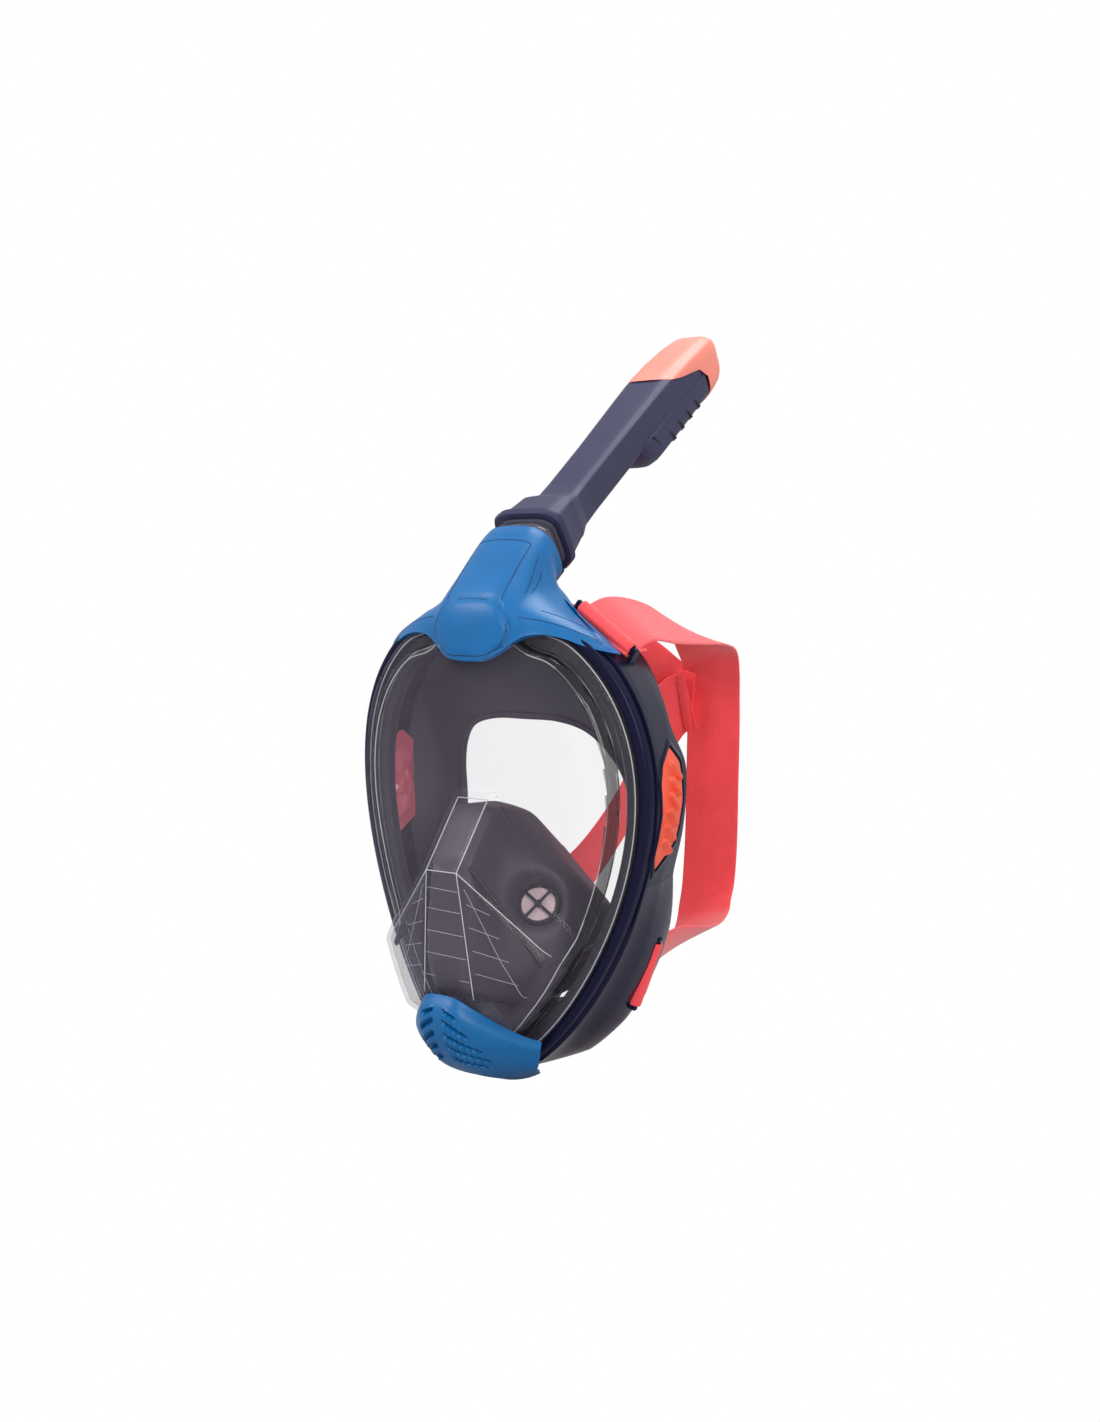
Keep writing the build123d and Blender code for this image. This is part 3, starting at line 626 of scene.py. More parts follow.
def make_grips():
    outline = [Vector(p) for p in GRIP_OUTLINE]
    fine = rounded_outline([p for a, b in zip(outline, outline[1:] + outline[:1])
                            for p in (a, a.lerp(b, 0.33), a.lerp(b, 0.67))], rounds=2)
    along = Vector((0.80, -0.60)).normalized()
    ribs = [((-27 + 0.9 * (k - 2.5), 10 + 8.0 * (k - 2.5)), along, 6.4, 2.4, 2.8)
            for k in range(6)]
    inner = rounded_outline([Vector(p) for p in GRIP_OUTLINE], rounds=1, cut=0.1)
    for name, side in SIDES.items():
        shares = [1.0, 1.0, 0.985, 0.96] + [0.96 * (1 - k / 22) for k in range(1, 22)]
        lifts = [-0.5, 1.9, 2.4, 2.6] + [2.6] * 21
        points, faces = patch(fine, [s * 0.985 for s in shares], lifts, side, ribs)
        piece(f"grip_pad_{name}", points, faces, ORANGE, "mask",
              [f"side_grip_{name}"], sharp=60)
        shares = [1.20, 1.15, 1.13, 1.04, 1.02, 1.01, 1.01]
        lifts = [-0.4, 2.0, 2.6, 3.1, 3.0, 2.6, -0.4]
        points, faces = patch(fine, shares, lifts, side)
        piece(f"grip_housing_{name}", points, faces[:-1], NAVY, "mask", sharp=60)
        facets = [((-27, 10 + 13 * (k - 1)), Vector((0.7, 0.7)).normalized(), 3.0, 6.5, -2.2)
                  for k in range(3)]
        points, faces = patch(inner, [1.0, 0.97, 0.85] + [0.85 * (1 - k / 12) for k in range(1, 12)],
                              [-2.3, -3.4, -3.8] + [-3.8] * 11, side, facets)
        piece(f"grip_backing_{name}", points, faces, PINK_INSET, "mask", sharp=25)


# --- soft parts ---
SKIRT_ROOT = (-20, (86.0, 124.5, -10))
# Edge of the face opening, right half from the top: (x, y, z).
SKIRT_LIP = [
    (0, -25, 53), (20, -24.5, 52.5), (36, -22, 48), (46, -16, 38), (52.5, -9, 24), (55, -4, 8),
    (56, -1, -15), (54, -1, -42), (48, -1, -70), (35, -1, -94), (16, -1, -106), (0, -1, -108)]


def make_skirt():
    lip = full_ring(SKIRT_LIP, 9)
    y0, size = SKIRT_ROOT
    steps = len(lip)
    centre = Vector((0, 0, -24))
    columns = []
    for edge in lip:
        turn = math.atan2((edge.z - centre.z) / size[1], edge.x / size[0])
        x, z = egg(turn, 0, size)
        root = Vector((x, y0, z))
        inward = edge - root
        sag = Vector((0, 6.0, 0)) * smoothstep(-20, -2, edge.y)
        columns.append(catmull([
            root, root + inward * 0.12 + sag * 0.5, root + inward * 0.4 + sag,
            root + inward * 0.75 + sag * 0.6, edge + inward * -0.05 + Vector((0, 0.4, 0)), edge,
            edge + Vector((0, -2.0, 0)) + inward * 0.01, edge + Vector((0, -3.6, 0)) - inward * 0.04], 6))
    rings = len(columns[0])
    points = [columns[t][r] for r in range(rings) for t in range(steps)]
    skirt = piece("skirt", points, ring_faces(rings, steps), SILICONE, "mask",
                  ["face_skirt"])
    thicken(skirt, SKIRT_WALL)


CUP_ROWS = [(-12, [(0, -16), (16, -20), (33, -36), (46, -48), (50, -66), (30, -94), (0, -97)]),
            (-40, [(0, 5), (14, 2), (30, -18), (47, -33), (49, -68), (29, -96), (0, -98)]),
            (-55, [(0, 8.5), (13, 6), (25, -14), (42, -32), (44, -72), (24, -96), (0, -98)]),
            (-76, [(0, 9.0), (11.7, 7.5), (15.5, -20), (20, -48), (24, -76), (15, -92), (0, -93)]),
            (-96, [(0, -17), (10.5, -19), (11.5, -28), (12.5, -48), (12.5, -70), (9, -82), (0, -83)])]
# The cup's left valve; the right one mirrors it.
CUP_VALVE_CENTRE = Vector((30, -57, -43))
CUP_VALVE_AXIS = Vector((0.38, -0.80, 0.46)).normalized()
CUP_VALVE_RADIUS = 11.0


def make_cup():
    fine = 9
    rows = []
    for y, half in CUP_ROWS:
        corners = [Vector((x, y, z)) for x, z in half]
        corners += [mirrored(p, -1) for p in reversed(corners[1:-1])]
        rows.append([a.lerp(b, k / fine) for a, b in zip(corners, corners[1:] + corners[:1])
                     for k in range(fine)])
    grid = []
    for first, second in zip(rows, rows[1:]):
        grid += [[a.lerp(b, k / fine) for a, b in zip(first, second)] for k in range(fine)]
    middle = sum(rows[-1], Vector()) / len(rows[-1])
    grid += [[p.lerp(middle, k / 5) for p in rows[-1]] for k in range(5)]
    size = len(grid[0])
    for _ in range(5):
        smooth = [[(grid[r - 1][k] + grid[r + 1][k] + row[k - 1] + row[(k + 1) % size] + row[k] * 2) / 6
                   for k in range(size)] for r, row in enumerate(grid[1:-1], 1)]
        grid = [grid[0]] + smooth + [grid[-1]]
    for side in (1, -1):
        centre, axis = mirrored(CUP_VALVE_CENTRE, side), mirrored(CUP_VALVE_AXIS, side)
        for row in grid:
            for p in row:
                height = (p - centre).dot(axis)
                reach = (p - centre - axis * height).length
                if abs(height) < 18:
                    hold = 1 - smoothstep(CUP_VALVE_RADIUS, CUP_VALVE_RADIUS + 5, reach)
                    p -= axis * (height + 1.6) * hold
    points = [p for row in grid for p in row]
    cup = piece("nose_and_mouth_cup", points, ring_faces(len(grid), size, cap_last=True), SILICONE,
                "mask", ["orinasal_cup"])
    thicken(cup, CUP_WALL)
    make_valve_guards()


def make_valve_guards():
    """Ring, crossed bars and hub over each valve of the cup."""
    profile = [(11.4, -1.8), (11.4, 2.6), (10.9, 3.1), (9.6, 3.1), (9.2, 2.6), (9.2, -1.8)]
    for name, side in SIDES.items():
        centre, axis = mirrored(CUP_VALVE_CENTRE, side), mirrored(CUP_VALVE_AXIS, side)
        across = axis.cross(Vector((0, 0, 1))).normalized()
        up = across.cross(axis).normalized()

        def at(radius, turn, height):
            return centre + axis * height + (across * math.cos(turn) + up * math.sin(turn)) * radius

        points = [at(r, 2 * math.pi * t / 48, h) for t in range(48) for r, h in profile]
        faces = ring_faces(48, len(profile), loop=True)
        for turn in (math.radians(40), math.radians(130)):
            ends = [at(9.4, turn, 2.7), at(9.4, turn + math.pi, 2.7)]
            width = (ends[1] - ends[0]).normalized().cross(axis) * 0.75
            start = len(points)
            corners = ((width, 0), (width, 0.6), (-width, 0.6), (-width, 0))
            points += [e + w + axis * h for e in ends for w, h in corners]
            faces += ring_faces(2, 4, start=start, cap_first=True, cap_last=True)
        hub = len(points)
        points += [at(r, 2 * math.pi * t / 20, h) for r, h in ((1.9, 2.7), (1.9, 3.6), (1.2, 3.9))
                   for t in range(20)]
        faces += ring_faces(3, 20, start=hub, cap_last=True)
        piece(f"valve_guard_{name}", points, faces, SILICONE_DARK, "mask",
              [f"cup_valve_seat_{name}"], sharp=40)


# --- blue covers ---
# Right-hand halves, from the front middle round to the back middle.
COVER_EDGE = [
    (0, -84, 85.5), (9, -83.6, 86), (15, -82.3, 88), (20.5, -80, 91.8), (26, -78, 95.8),
    (31.5, -76.5, 98.6), (40, -74, 99.6), (50, -70, 98), (59, -65.5, 94.5), (67, -60, 92),
    (72, -54, 90.8), (71, -50.5, 91.6), (64, -49, 97.0), (51, -48, 106.5), (33, -42, 116),
    (0, -27, 121.5)]
COVER_MIDDLE = [
    (0, -80.5, 114), (9, -80.2, 114), (15, -79.2, 113.8), (20, -77.8, 113.2), (24, -75.5, 112.5),
    (28, -73, 111.5), (35, -70, 110), (44, -66, 107.5), (53, -62, 104), (60, -58, 100.5),
    (64, -55.5, 97.5), (60, -52.5, 100.8), (50, -50, 107.8), (36, -43, 117), (20, -32, 122.3),
    (0, -26, 123.5)]
COVER_NECK = [
    (0, -65, 134), (9, -64.7, 134), (15, -63.5, 133.5), (19.5, -61.5, 132), (22.5, -58.5, 130.5),
    (24, -55, 128.5), (25.5, -51.5, 126), (27, -48, 123.5), (29.5, -44.5, 121), (31.5, -42, 119.5),
    (32, -40, 119), (31.5, -37, 119.3), (29, -33, 120.5), (23, -29, 122), (13, -26, 123.5),
    (0, -25, 124)]
NECK_TURNS = (0, 20, 35, 48, 58, 66, 74, 82, 90, 97, 104, 112, 124, 140, 160, 180)
NECK_STATION, NECK_HALF_WIDTH, NECK_HALF_DEPTH = -11.0, 22.5, 18.8
NECK_POWER = 0.72                   # below 1 the neck's section is squarer than an ellipse
PLATE_OUTLINE = [(-11, 88), (11, 88), (19, 93), (23, 102), (16, 115), (7, 117.5), (-7, 117.5),
                 (-16, 115), (-23, 102), (-19, 93)]
COVER_STEPS, COVER_ROW_STEPS = 10, 12


def neck_ring(station, half_width, half_depth):
    """Half ring of the neck, from its front to its back."""
    ring = []
    for turn in NECK_TURNS:
        s, c = math.sin(math.radians(turn)), math.cos(math.radians(turn))
        x = half_width * abs(s) ** NECK_POWER
        lift = half_depth * math.copysign(abs(c) ** NECK_POWER, c)
        ring.append(snorkel_point(station, x, lift))
    return ring


def inside_distance(outline, x, z):
    """Distance inside a closed outline, negative outside."""
    nearest, inside = 1e9, False
    for (x0, z0), (x1, z1) in zip(outline, outline[1:] + outline[:1]):
        run = Vector((x1 - x0, z1 - z0))
        share = max(0.0, min(1.0, Vector((x - x0, z - z0)).dot(run) / run.length_squared))
        nearest = min(nearest, (Vector((x0, z0)) + run * share - Vector((x, z))).length)
        if (z0 > z) != (z1 > z) and x < x0 + (x1 - x0) * (z - z0) / (z1 - z0):
            inside = not inside
    return nearest if inside else -nearest


def make_top_cover():
    rims = [neck_ring(NECK_STATION - 9, NECK_HALF_WIDTH + 0.6, NECK_HALF_DEPTH - 0.4),
            neck_ring(NECK_STATION, NECK_HALF_WIDTH, NECK_HALF_DEPTH)]
    controls = [COVER_EDGE, COVER_MIDDLE, COVER_NECK, *rims]
    rings = [full_ring(c, COVER_STEPS) for c in controls]
    size = len(rings[0])
    columns = [catmull([ring[k] for ring in rings], COVER_ROW_STEPS) for k in range(size)]
    rows = len(columns[0])
    outline = [tuple(p) for p in rounded_outline(PLATE_OUTLINE, rounds=1, cut=0.15)]
    surface = []
    for r in range(rows):
        for k in range(size):
            p = columns[k][r].copy()
            if p.y < -66 and abs(p.x) < 28:
                edge = inside_distance(outline, p.x, p.z)
                p.y -= 1.6 * smoothstep(-0.6, 0.8, edge)
                p.y += 0.8 * (1 - smoothstep(0.0, 1.0, abs(edge + 0.9)))
            surface.append(p)
    bottom = [p + Vector((0, 3.6, -0.8)) for p in surface[:size]]
    neck = COLLAR_FOOT + AXIS * NECK_STATION
    inner_top = [COLLAR_FOOT + AXIS * (NECK_STATION - 0.4) + (p - neck) * 0.93 for p in surface[-size:]]
    inner_low = [p - AXIS * 9 for p in inner_top]
    points = bottom + surface + inner_top + inner_low
    faces = ring_faces(rows + 3, size)
    piece("forehead_cover", points, faces, BLUE, "mask", ["top_cover"], sharp=42)
    surface_tree = BVHTree.FromPolygons(points, faces)

    def on_cover(column, row):
        """Point of the cover's surface by control column and control row."""
        return columns[round(column * COVER_STEPS) % size][min(rows - 1, round(row * COVER_ROW_STEPS))]

    lines = []
    for side in (1, -1):
        lines.append([on_cover(side * 2.4, 1.2 + 0.06 * k) for k in range(28)])
        lines.append([on_cover(side * (4.6 - 0.02 * k), 1.5 + 0.05 * k) for k in range(24)])
        lines.append([on_cover(side * (5.2 + 0.02 * k), 1.55 + 0.03 * k) for k in range(24)])
        lines.append([on_cover(side * (4.6 + 0.11 * k), 0.75) for k in range(46)])
        lines.append([on_cover(side * (6.2 + 0.10 * k), 1.15) for k in range(34)])
    lines.append([on_cover(2.4 - 0.12 * k, 2.86) for k in range(41)])
    border = [surface_tree.ray_cast(Vector((x, -150, z)), Vector((0, 1, 0)))[0]
              for x, z in outline + outline[:1]]
    lines.append([p for p in border if p is not None])
    # The grooves are drawn as thin dark tubes on the surface: painted shade in the grooves.
    tube_piece("cover_groove_shade_lines", lines, 0.22, BLUE_GROOVE_SHADE, "mask")


# Right-hand rows of the chin guard, from its upper edge down and back.
CHIN_NET = [
    [(0, -102, -86), (9, -101.5, -87), (16, -97, -92), (25, -86, -101), (33, -76, -108),
     (39.5, -67, -112.5)],
    [(0, -106, -95), (10, -105, -96), (17, -100, -100), (27, -88, -107), (34, -78.5, -112.5),
     (40, -69, -116)],
    [(0, -103, -110), (9, -101.5, -110.5), (16, -96, -112.5), (26, -85, -116), (33, -75, -118.5),
     (38.5, -67, -120)],
    [(0, -92, -124), (8, -91, -124.5), (14.5, -86, -125), (23, -77, -126), (30, -69, -127),
     (35, -63, -127)],
    [(0, -75, -134), (7, -74, -134.3), (13, -71, -134.3), (19, -66, -134), (25, -61, -133.5),
     (29.5, -57, -133)],
    [(0, -50, -143), (6, -49.5, -143), (11, -48, -142.6), (16, -46, -141.5), (20, -44, -140),
     (23.5, -43, -138)]]
# Slots of the chin guard: row of the net and reach to each side.
CHIN_SLOTS = [(0.75, 9.0), (1.2, 13.0), (1.65, 17.0), (2.1, 18.0), (2.55, 15.0)]


def make_chin_cover():
    steps, across = 14, 16
    rows = []
    for control in CHIN_NET:
        half = [Vector(p) for p in control]
        rows.append(catmull([mirrored(p, -1) for p in reversed(half[1:])] + half, across))
    columns = [catmull([row[k] for row in rows], steps) for k in range(len(rows[0]))]
    height, size = len(columns[0]), len(columns)
    points = []
    for r in range(height):
        for k in range(size):
            p = columns[k][r].copy()
            for row, reach in CHIN_SLOTS:
                gap = abs(r / steps - row - 0.030 * abs(p.x)) / 0.12
                shut = smoothstep(reach, reach + 2.0, abs(p.x)) + 1 - smoothstep(2.4, 4.2, abs(p.x))
                depth = (1 - smoothstep(0.35, 0.95, gap)) * max(0.0, 1 - shut)
                lip = (1 - smoothstep(0.0, 0.5, abs(gap - 1.25))) * max(0.0, 1 - shut)
                p.y += 3.0 * depth - 0.5 * lip
            points.append(p)
    cover = piece("chin_guard", points, ring_faces(height, size, closed=False), BLUE, "mask",
                  ["chin_cover"], sharp=60)
    cover.data.flip_normals()
    thicken(cover, PLASTIC_WALL)


# --- straps ---
BAR_TAIL = 16.0                     # length of webbing tucked back behind a bar
# Strap stations between the bars: middle (x, y, z), then the direction of the width (x, y, z).
LEFT_RUN = [
    (57.5, -15, 108, 0.80, 0, -0.6), (54, 20, 107, 0.77, 0, -0.63), (46, 65, 104, 0.84, 0, -0.5),
    (36, 108, 98, 0.96, 0, -0.2), (27, 141, 88, 0.98, 0, 0.15), (22, 157, 76, 0.98, 0, 0.15),
    (19.5, 165.5, 60, 1, 0, 0.05), (19, 168, 38, 1, 0, 0), (19, 168, 0, 1, 0, 0),
    (19, 168, -34, 1, 0, 0), (19, 165.5, -62, 1, 0, 0.1), (21, 157, -76, 1, 0, 0.2),
    (26, 143, -84, 0.95, 0, 0.3), (37, 110, -87, 0.9, 0, 0.45), (50, 65, -83, 0.8, 0, 0.6),
    (60, 25, -79, 0.6, 0, 0.8)]
RIGHT_UPPER_RUN = [
    (-58, -15, 108.5, 0.78, 0, 0.62), (-57, 20, 108.5, 0.7, 0, 0.72), (-52, 65, 103, 0.5, 0, 0.85),
    (-40, 105, 95, 0.25, -0.1, 0.95), (-25, 138, 81, 0.1, -0.25, 1), (-12, 152, 68, 0, -0.3, 1),
    (-3, 157, 59, 0, -0.32, 1), (9, 157.8, 56, 0, -0.32, 1)]
RIGHT_LOWER_RUN = [
    (9, 153.8, 55, 0, -0.32, 1), (1, 153.4, 53.5, 0, -0.32, 1), (-8, 147.2, 42, -0.2, -0.4, 0.8),
    (-15, 138, 13, 0.1, -0.5, 0.8), (-22, 122, -16, 0.15, -0.65, 0.65),
    (-35, 92, -52, 0.1, -0.6, 0.75), (-50, 58, -75, -0.1, -0.4, 0.9),
    (-61, 25, -84, -0.3, -0.1, 0.9)]


def strap(name, stations, replaces):
    """Flat webbing through (centre, width direction) stations."""
    centres = catmull([c for c, _ in stations], 10)
    widths = catmull([w for _, w in stations], 10)
    lengths = [0.0]
    for a, b in zip(centres, centres[1:]):
        lengths.append(lengths[-1] + (b - a).length)
    across = [-1.0, -0.985, -0.94] + [-0.94 + 1.88 * k / 12 for k in range(1, 12)] + [0.94, 0.985, 1.0]
    edge = [0.25, 0.75, 1.0] + [1.0] * 11 + [1.0, 0.75, 0.25]
    points, ring = [], 2 * len(across)
    uvs = []
    for i, centre in enumerate(centres):
        along = (centres[min(i + 1, len(centres) - 1)] - centres[max(i - 1, 0)]).normalized()
        width = widths[i] - along * widths[i].dot(along)
        width.normalize()
        normal = width.cross(along)
        for sign, order in ((1, range(len(across))), (-1, reversed(range(len(across))))):
            for k in order:
                sideways = across[k] * STRAP_WIDTH / 2
                points.append(centre + width * sideways + normal * sign * edge[k] * STRAP_THICKNESS / 2)
                uvs.append((sideways * MM, lengths[i] * MM))
    faces = ring_faces(len(centres), ring, cap_first=True, cap_last=True)
    obj = piece(name, points, faces, CORAL, "mask", replaces, sharp=60)
    layer = obj.data.uv_layers.new(name="strap")
    for loop in obj.data.loops:
        layer.data[loop.index].uv = uvs[loop.vertex_index]


def bar_wrap(ends, side, leave, outer):
    """Stations of webbing that comes back from a tail, goes round a bar and leaves along leave.

    outer is the side of the bar, seen across the strap, on which the main run lies.
    """
    first, last = (mirrored(p, side) for p in ends)
    middle, width = (first + last) / 2, (last - first).normalized()
    leave = (leave - width * leave.dot(width)).normalized()
    normal = width.cross(leave) * outer
    radius = BAR_RADIUS + 0.35 + STRAP_THICKNESS / 2
    gap = STRAP_THICKNESS / 2 + 0.25
    tucked = normal * (radius - 2 * gap - 0.2)
    stations = [middle + leave * BAR_TAIL + tucked, middle + leave * BAR_TAIL * 0.6 + tucked,
                middle + leave * BAR_TAIL * 0.28 - normal * radius * 0.25]
    for turn in (-90, -50, -10, 10, 50, 90):
        angle = math.radians(turn)
        stations.append(middle - leave * radius * math.cos(angle) + normal * radius * math.sin(angle))
    return [(p, width) for p in stations]


def make_bars():
    for level, ends, target in (("upper", UPPER_BAR, Vector((0, 0, 0))),
                                ("lower", LOWER_BAR, Vector((0, 0, -60)))):
        for name, side in SIDES.items():
            first, last = (mirrored(p, side) for p in ends)
            along = (last - first).normalized()
            points, faces = tubes([[first, first.lerp(last, 0.5), last]], BAR_RADIUS, sides=24)
            for corner, outward in ((first, -along), (last, along)):
                inward = target - corner
                inward = (inward - along * inward.dot(along)).normalized()
                depth = Vector((0, 1, 0))
                start = len(points)
                for reach, half in ((-2.6, 1.6), (0, 2.6), (6, 3.6), (13, 5.0)):
                    for thick, wide in ((-0.6, -half), (1.2, -half), (1.2, half), (-0.6, half)):
                        points.append(corner + inward * reach + outward * thick + depth * wide)
                faces += ring_faces(4, 4, start=start, cap_first=True, cap_last=True)
            bar = piece(f"bar_{level}_{name}", points, faces, NAVY, "mask",
                        [f"strap_bar_{level}_{name}"], sharp=40)
            round_edges(bar, 0.4, angle=50)


def run(rows):
    """Strap stations from rows of six numbers."""
    return [(Vector(row[:3]), Vector(row[3:])) for row in rows]


def flipped(stations):
    """The same stations with the width's direction turned round."""
    return [(place, -width) for place, width in stations]


def make_straps():
    left = bar_wrap(UPPER_BAR, 1, Vector((0, 1, 0.08)), -1) + run(LEFT_RUN)
    left += flipped(reversed(bar_wrap(LOWER_BAR, 1, Vector((-0.12, 1, -0.1)), -1)))
    strap("strap_left", left, ["head_strap_left"])

    upper = flipped(bar_wrap(UPPER_BAR, -1, Vector((0, 1, 0.05)), 1)) + run(RIGHT_UPPER_RUN)
    strap("strap_right_upper", upper, ["head_strap_right_upper"])

    lower = run(RIGHT_LOWER_RUN)
    lower += flipped(reversed(bar_wrap(LOWER_BAR, -1, Vector((0.12, 1, 0.35)), -1)))
    strap("strap_right_lower", lower, ["head_strap_right_lower"])
    make_seam()


def make_seam():
    """Webbing patch sewn over the joined strap ends, with its zigzag stitching."""
    centre = Vector((6.5, 151, 54.5))
    up, out = Vector((0, -0.306, 0.952)), Vector((0, -0.952, -0.306))
    half = STRAP_WIDTH / 2 + 2
    outline = rounded_outline([(-3, -half), (3, -half), (3, half), (-3, half)], rounds=2)
    points = []
    for share, lift in ((0.90, -0.4), (1.0, -0.22), (1.0, 0.22), (0.90, 0.4)):
        points += [centre + Vector((p.x * share, 0, 0)) + up * p.y * (0.97 + 0.03 * share) + out * lift
                   for p in outline]
    piece("seam_patch", points, ring_faces(4, len(outline), cap_first=True, cap_last=True), CORAL,
          "mask", ["strap_seam"], sharp=40)
    zigzag = [centre + Vector((2.0 if k % 2 else -2.0, 0, 0)) + up * (1.4 * k - half + 1.5) + out * 0.45
              for k in range(29)]
    tube_piece("seam_stitches", [zigzag], 0.16, CORAL, "mask")


# --- snorkel ---
SECTION_POINTS = 64                 # eight corners, each cut three times


def section(half_width, front, back, chamfer):
    """Snorkel cross-section in (x, lift): flat front with bevels, rounded back."""
    corners = [(-(half_width - chamfer), front), (half_width - chamfer, front),
               (half_width, front - chamfer * 0.55), (half_width, back + chamfer * 0.9),
               (half_width - chamfer * 1.1, back), (-(half_width - chamfer * 1.1), back),
               (-half_width, back + chamfer * 0.9), (-half_width, front - chamfer * 0.55)]
    return rounded_outline(corners, rounds=3, cut=0.16)


def snorkel_piece(name, rows, material, body, replaces, cap_first=False, cap_last=False):
    """Piece from rows of station, half width, front, back and chamfer along the snorkel."""
    points = [snorkel_point(station, p.x, p.y) for station, *sizes in rows for p in section(*sizes)]
    faces = ring_faces(len(rows), SECTION_POINTS, cap_first=cap_first, cap_last=cap_last)
    piece(name, points, faces, material, body, replaces, sharp=32)


def make_snorkel():
    rows = [(4, 16.9, 13.9, -13.9, 7), (0.6, 17.2, 14.2, -14.2, 7), (0.2, 20.6, 18.2, -18.2, 8.5),
            (0.6, 21.6, 19.2, -19.2, 9), (2.0, 22.2, 19.8, -19.8, 9), (4.6, 22.2, 19.8, -19.8, 9),
            (5.6, 21.2, 18.6, -18.8, 9), (7, 20.6, 18.0, -18.2, 8.5), (22, 18.6, 15.8, -16.4, 7.5),
            (24, 18.4, 15.4, -16.2, 7), (34, 14.6, 10.2, -14.6, 5), (36, 14.2, 9.6, -14.4, 4.6),
            (50, 13.8, 9.4, -14.2, 4.4), (90, 14.2, 9.5, -14.2, 4.4), (150, 15.8, 10.3, -14.2, 5),
            (163, 16.2, 10.5, -14.2, 5.4), (188, 16.6, 9.2, -14.2, 6), (203, 16.6, 7.2, -14.2, 6)]
    snorkel_piece("tube", rows, NAVY_TUBE, "snorkel", ["snorkel_tube"], cap_last=True)

    rows = [(112, 12.0, -6, -13.0, 2), (113, 13.4, -5, -17, 4), (115, 14.8, -4, -21, 6),
            (118, 15.8, -4, -24.5, 7), (124, 16.5, -4, -27.6, 8), (132, 16.9, -4, -29.2, 8),
            (170, 17.0, -4, -29.7, 8), (206, 17.0, -4, -29.6, 8)]
    snorkel_piece("float_chamber", rows, NAVY_TUBE, "snorkel", ["snorkel_head"],
                  cap_first=True, cap_last=True)

    points = []
    for share, half_width, front, back, chamfer in [
            (0.0, 17.0, 10.9, -29.7, 8), (0.0, 17.5, 11.3, -30.1, 8), (0.03, 17.6, 11.3, -30.2, 8),
            (0.35, 17.4, 10.2, -30.0, 8), (0.70, 16.8, 7.6, -29.0, 7.6), (0.88, 15.9, 5.6, -27.4, 7.2),
            (0.95, 15.2, 4.6, -26.4, 6.8), (0.99, 14.0, 3.2, -25.0, 6.4), (1.0, 12.4, 1.6, -23.4, 5.6)]:
        for p in section(half_width, front, back, chamfer):
            low = cap_foot(p.y)
            points.append(snorkel_point(low + (234.0 + 0.10 * p.y - low) * share, p.x, p.y))
    piece("cap", points, ring_faces(9, SECTION_POINTS, cap_last=True), SALMON, "snorkel",
          ["snorkel_cap"], sharp=28)

    # The head's vent slots are drawn as dark tubes on its side, not cut open: painted shade in the slots.
    slots = []
    for side in (1, -1):
        for station in (146, 159, 172, 185):
            slots.append([])
            for k in range(8):
                bent = max(0, k - 3)
                slots[-1].append(snorkel_point(station + 1.1 * k, side * (16.95 - 1.22 * bent),
                                               -16.5 - 2.0 * min(k, 3) - 1.0 * bent))
        slots.append([snorkel_point(126 + 1.0 * k, side * 16.3, -8.5 - 1.5 * k) for k in range(6)])
    tube_piece("head_vent_shade_lines", slots, 0.8, NAVY_VENT_SHADE, "snorkel")

    rows = [(-14, 16.4, 13.9, -13.9, 6.5), (-9, 17.6, 15.0, -15.0, 7), (-8, 18.0, 15.4, -15.4, 7),
            (-6.4, 18.0, 15.4, -15.4, 7), (-6, 17.2, 14.6, -14.6, 7), (-3, 17.2, 14.6, -14.6, 7),
            (-2.6, 18.4, 15.8, -15.8, 7), (-0.3, 18.4, 15.8, -15.8, 7), (-0.2, 15.9, 12.9, -12.9, 6),
            (16, 15.9, 12.9, -12.9, 6)]
    snorkel_piece("socket_neck", rows, SMOKE, "mask", ["snorkel_socket"])


def cap_foot(lift):
    """Station of the cap's lower edge: low at the front, high at the sides, lower again at the back."""
    return table_value([(-30, 205), (-22, 209), (-12, 209), (-3, 200), (4, 177), (8, 167),
                        (11.3, 162)], lift)


# --- carried-over CAD nodes ---
def dress_cad_nodes():
    """Materials and softened edges for the CAD pieces that show as they are."""
    slots = {row["node"]: row["material_slot"] for row in frame["record"]["subparts"]}
    for name, obj in frame["nodes"].items():
        material = SOFT.get(slots[name])
        if material is None or obj.hide_render:
            continue
        obj.data.materials.clear()
        obj.data.materials.append(material)
        obj.data.shade_smooth()
        round_edges(obj, 0.25, angle=30)


# --- studio ---
LIGHTS = [                          # name, place and aim in metres, size, watts
    ("key", (-0.7, -1.1, 1.2), (0, 0, 0.05), (0.8, 0.8), 13),
    ("side", (1.3, -0.9, 0.5), (0, 0.06, 0.02), (0.8, 0.9), 11),
    ("top", (0.1, 0.5, 1.5), (0, 0.05, 0.1), (0.9, 0.8), 12)]
WORLD_LIGHT, WORLD_STRENGTH = (0.97, 0.98, 1.0, 1), 0.66
FLOOR_REACH, FLOOR_SEGMENTS, FLOOR_GAP = 6.0, 12, 0.004     # metres, squares a side, metres


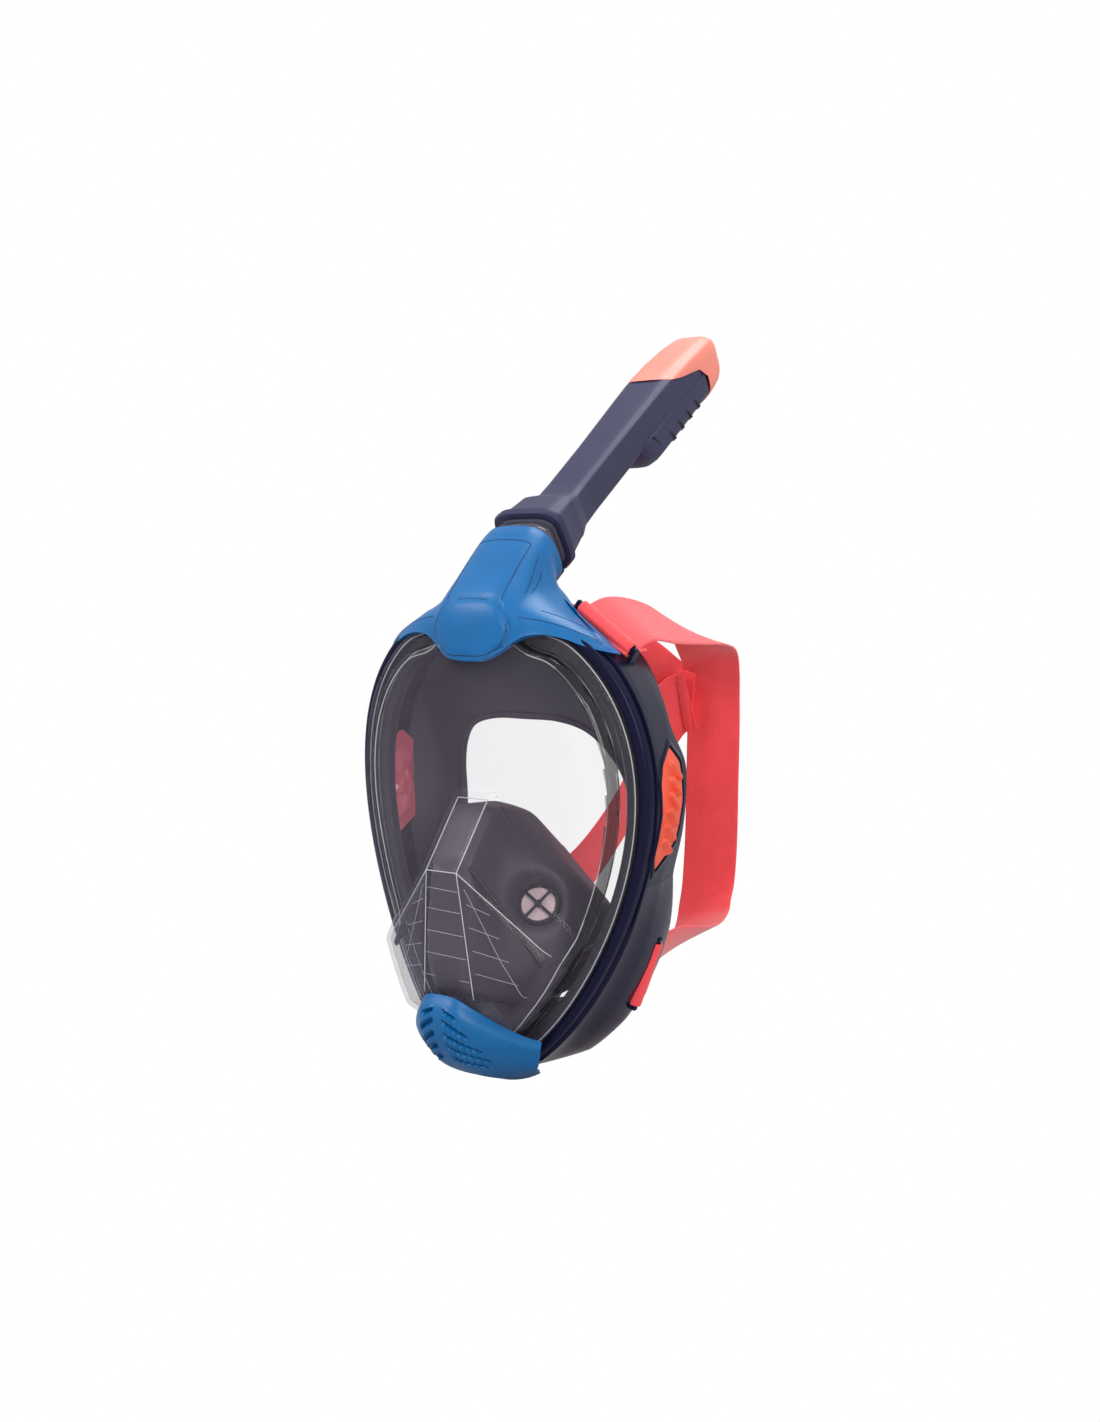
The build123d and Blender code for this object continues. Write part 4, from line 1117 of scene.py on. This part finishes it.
def area_light(name, place, aim, size, power):
    data = bpy.data.lights.new(name, "AREA")
    data.shape = "RECTANGLE"
    data.size, data.size_y = size
    data.energy = power
    light = add_object(name, data)
    light.location = place
    light.rotation_euler = (Vector(aim) - Vector(place)).to_track_quat("-Z", "Y").to_euler()


def show_camera(tree, lit, seen, surface):
    """The camera sees one shader, while the other lights and bounces."""
    rays = tree.nodes.new("ShaderNodeLightPath")
    mix = tree.nodes.new("ShaderNodeMixShader")
    tree.links.new(rays.outputs["Is Camera Ray"], mix.inputs["Fac"])
    tree.links.new(lit, mix.inputs[1])
    tree.links.new(seen, mix.inputs[2])
    tree.links.new(mix.outputs["Shader"], surface)


def make_studio():
    """White to the camera, with soft light from above and a grey bounce from below."""
    world = bpy.data.worlds.new("studio")
    bpy.context.scene.world = world
    world.use_nodes = True
    nodes = world.node_tree.nodes
    seen = preset(nodes["Background"], Color=(1.0, 1.0, 1.0, 1), Strength=1.0)
    lighting = preset(nodes.new("ShaderNodeBackground"), Color=WORLD_LIGHT, Strength=WORLD_STRENGTH)
    show_camera(world.node_tree, lighting.outputs["Background"], seen.outputs["Background"],
                nodes["World Output"].inputs["Surface"])

    material = moulded("floor", (0.45, 0.45, 0.46), 0.8, grain=0.02, mottling=0.0)
    nodes = material.node_tree.nodes
    white = preset(nodes.new("ShaderNodeEmission"), Color=(1, 1, 1, 1))
    show_camera(material.node_tree, nodes["Principled BSDF"].outputs["BSDF"],
                white.outputs["Emission"], nodes["Material Output"].inputs["Surface"])
    mesh = bpy.data.meshes.new("floor")
    marks = [-FLOOR_REACH + 2 * FLOOR_REACH * i / FLOOR_SEGMENTS for i in range(FLOOR_SEGMENTS + 1)]
    low = cad_box[0].z - FLOOR_GAP
    mesh.from_pydata([(x, y, low) for y in marks for x in marks], [],
                     ring_faces(len(marks), len(marks), closed=False))
    floor = add_object("floor", mesh)
    mesh.materials.append(material)
    for light in LIGHTS:
        area_light(*light)
    bpy.context.scene.view_settings.view_transform = "Standard"


make_camera()
make_window()
make_frame()
make_grips()
make_skirt()
make_cup()
make_top_cover()
make_chin_cover()
make_bars()
make_straps()
make_snorkel()
dress_cad_nodes()
make_studio()
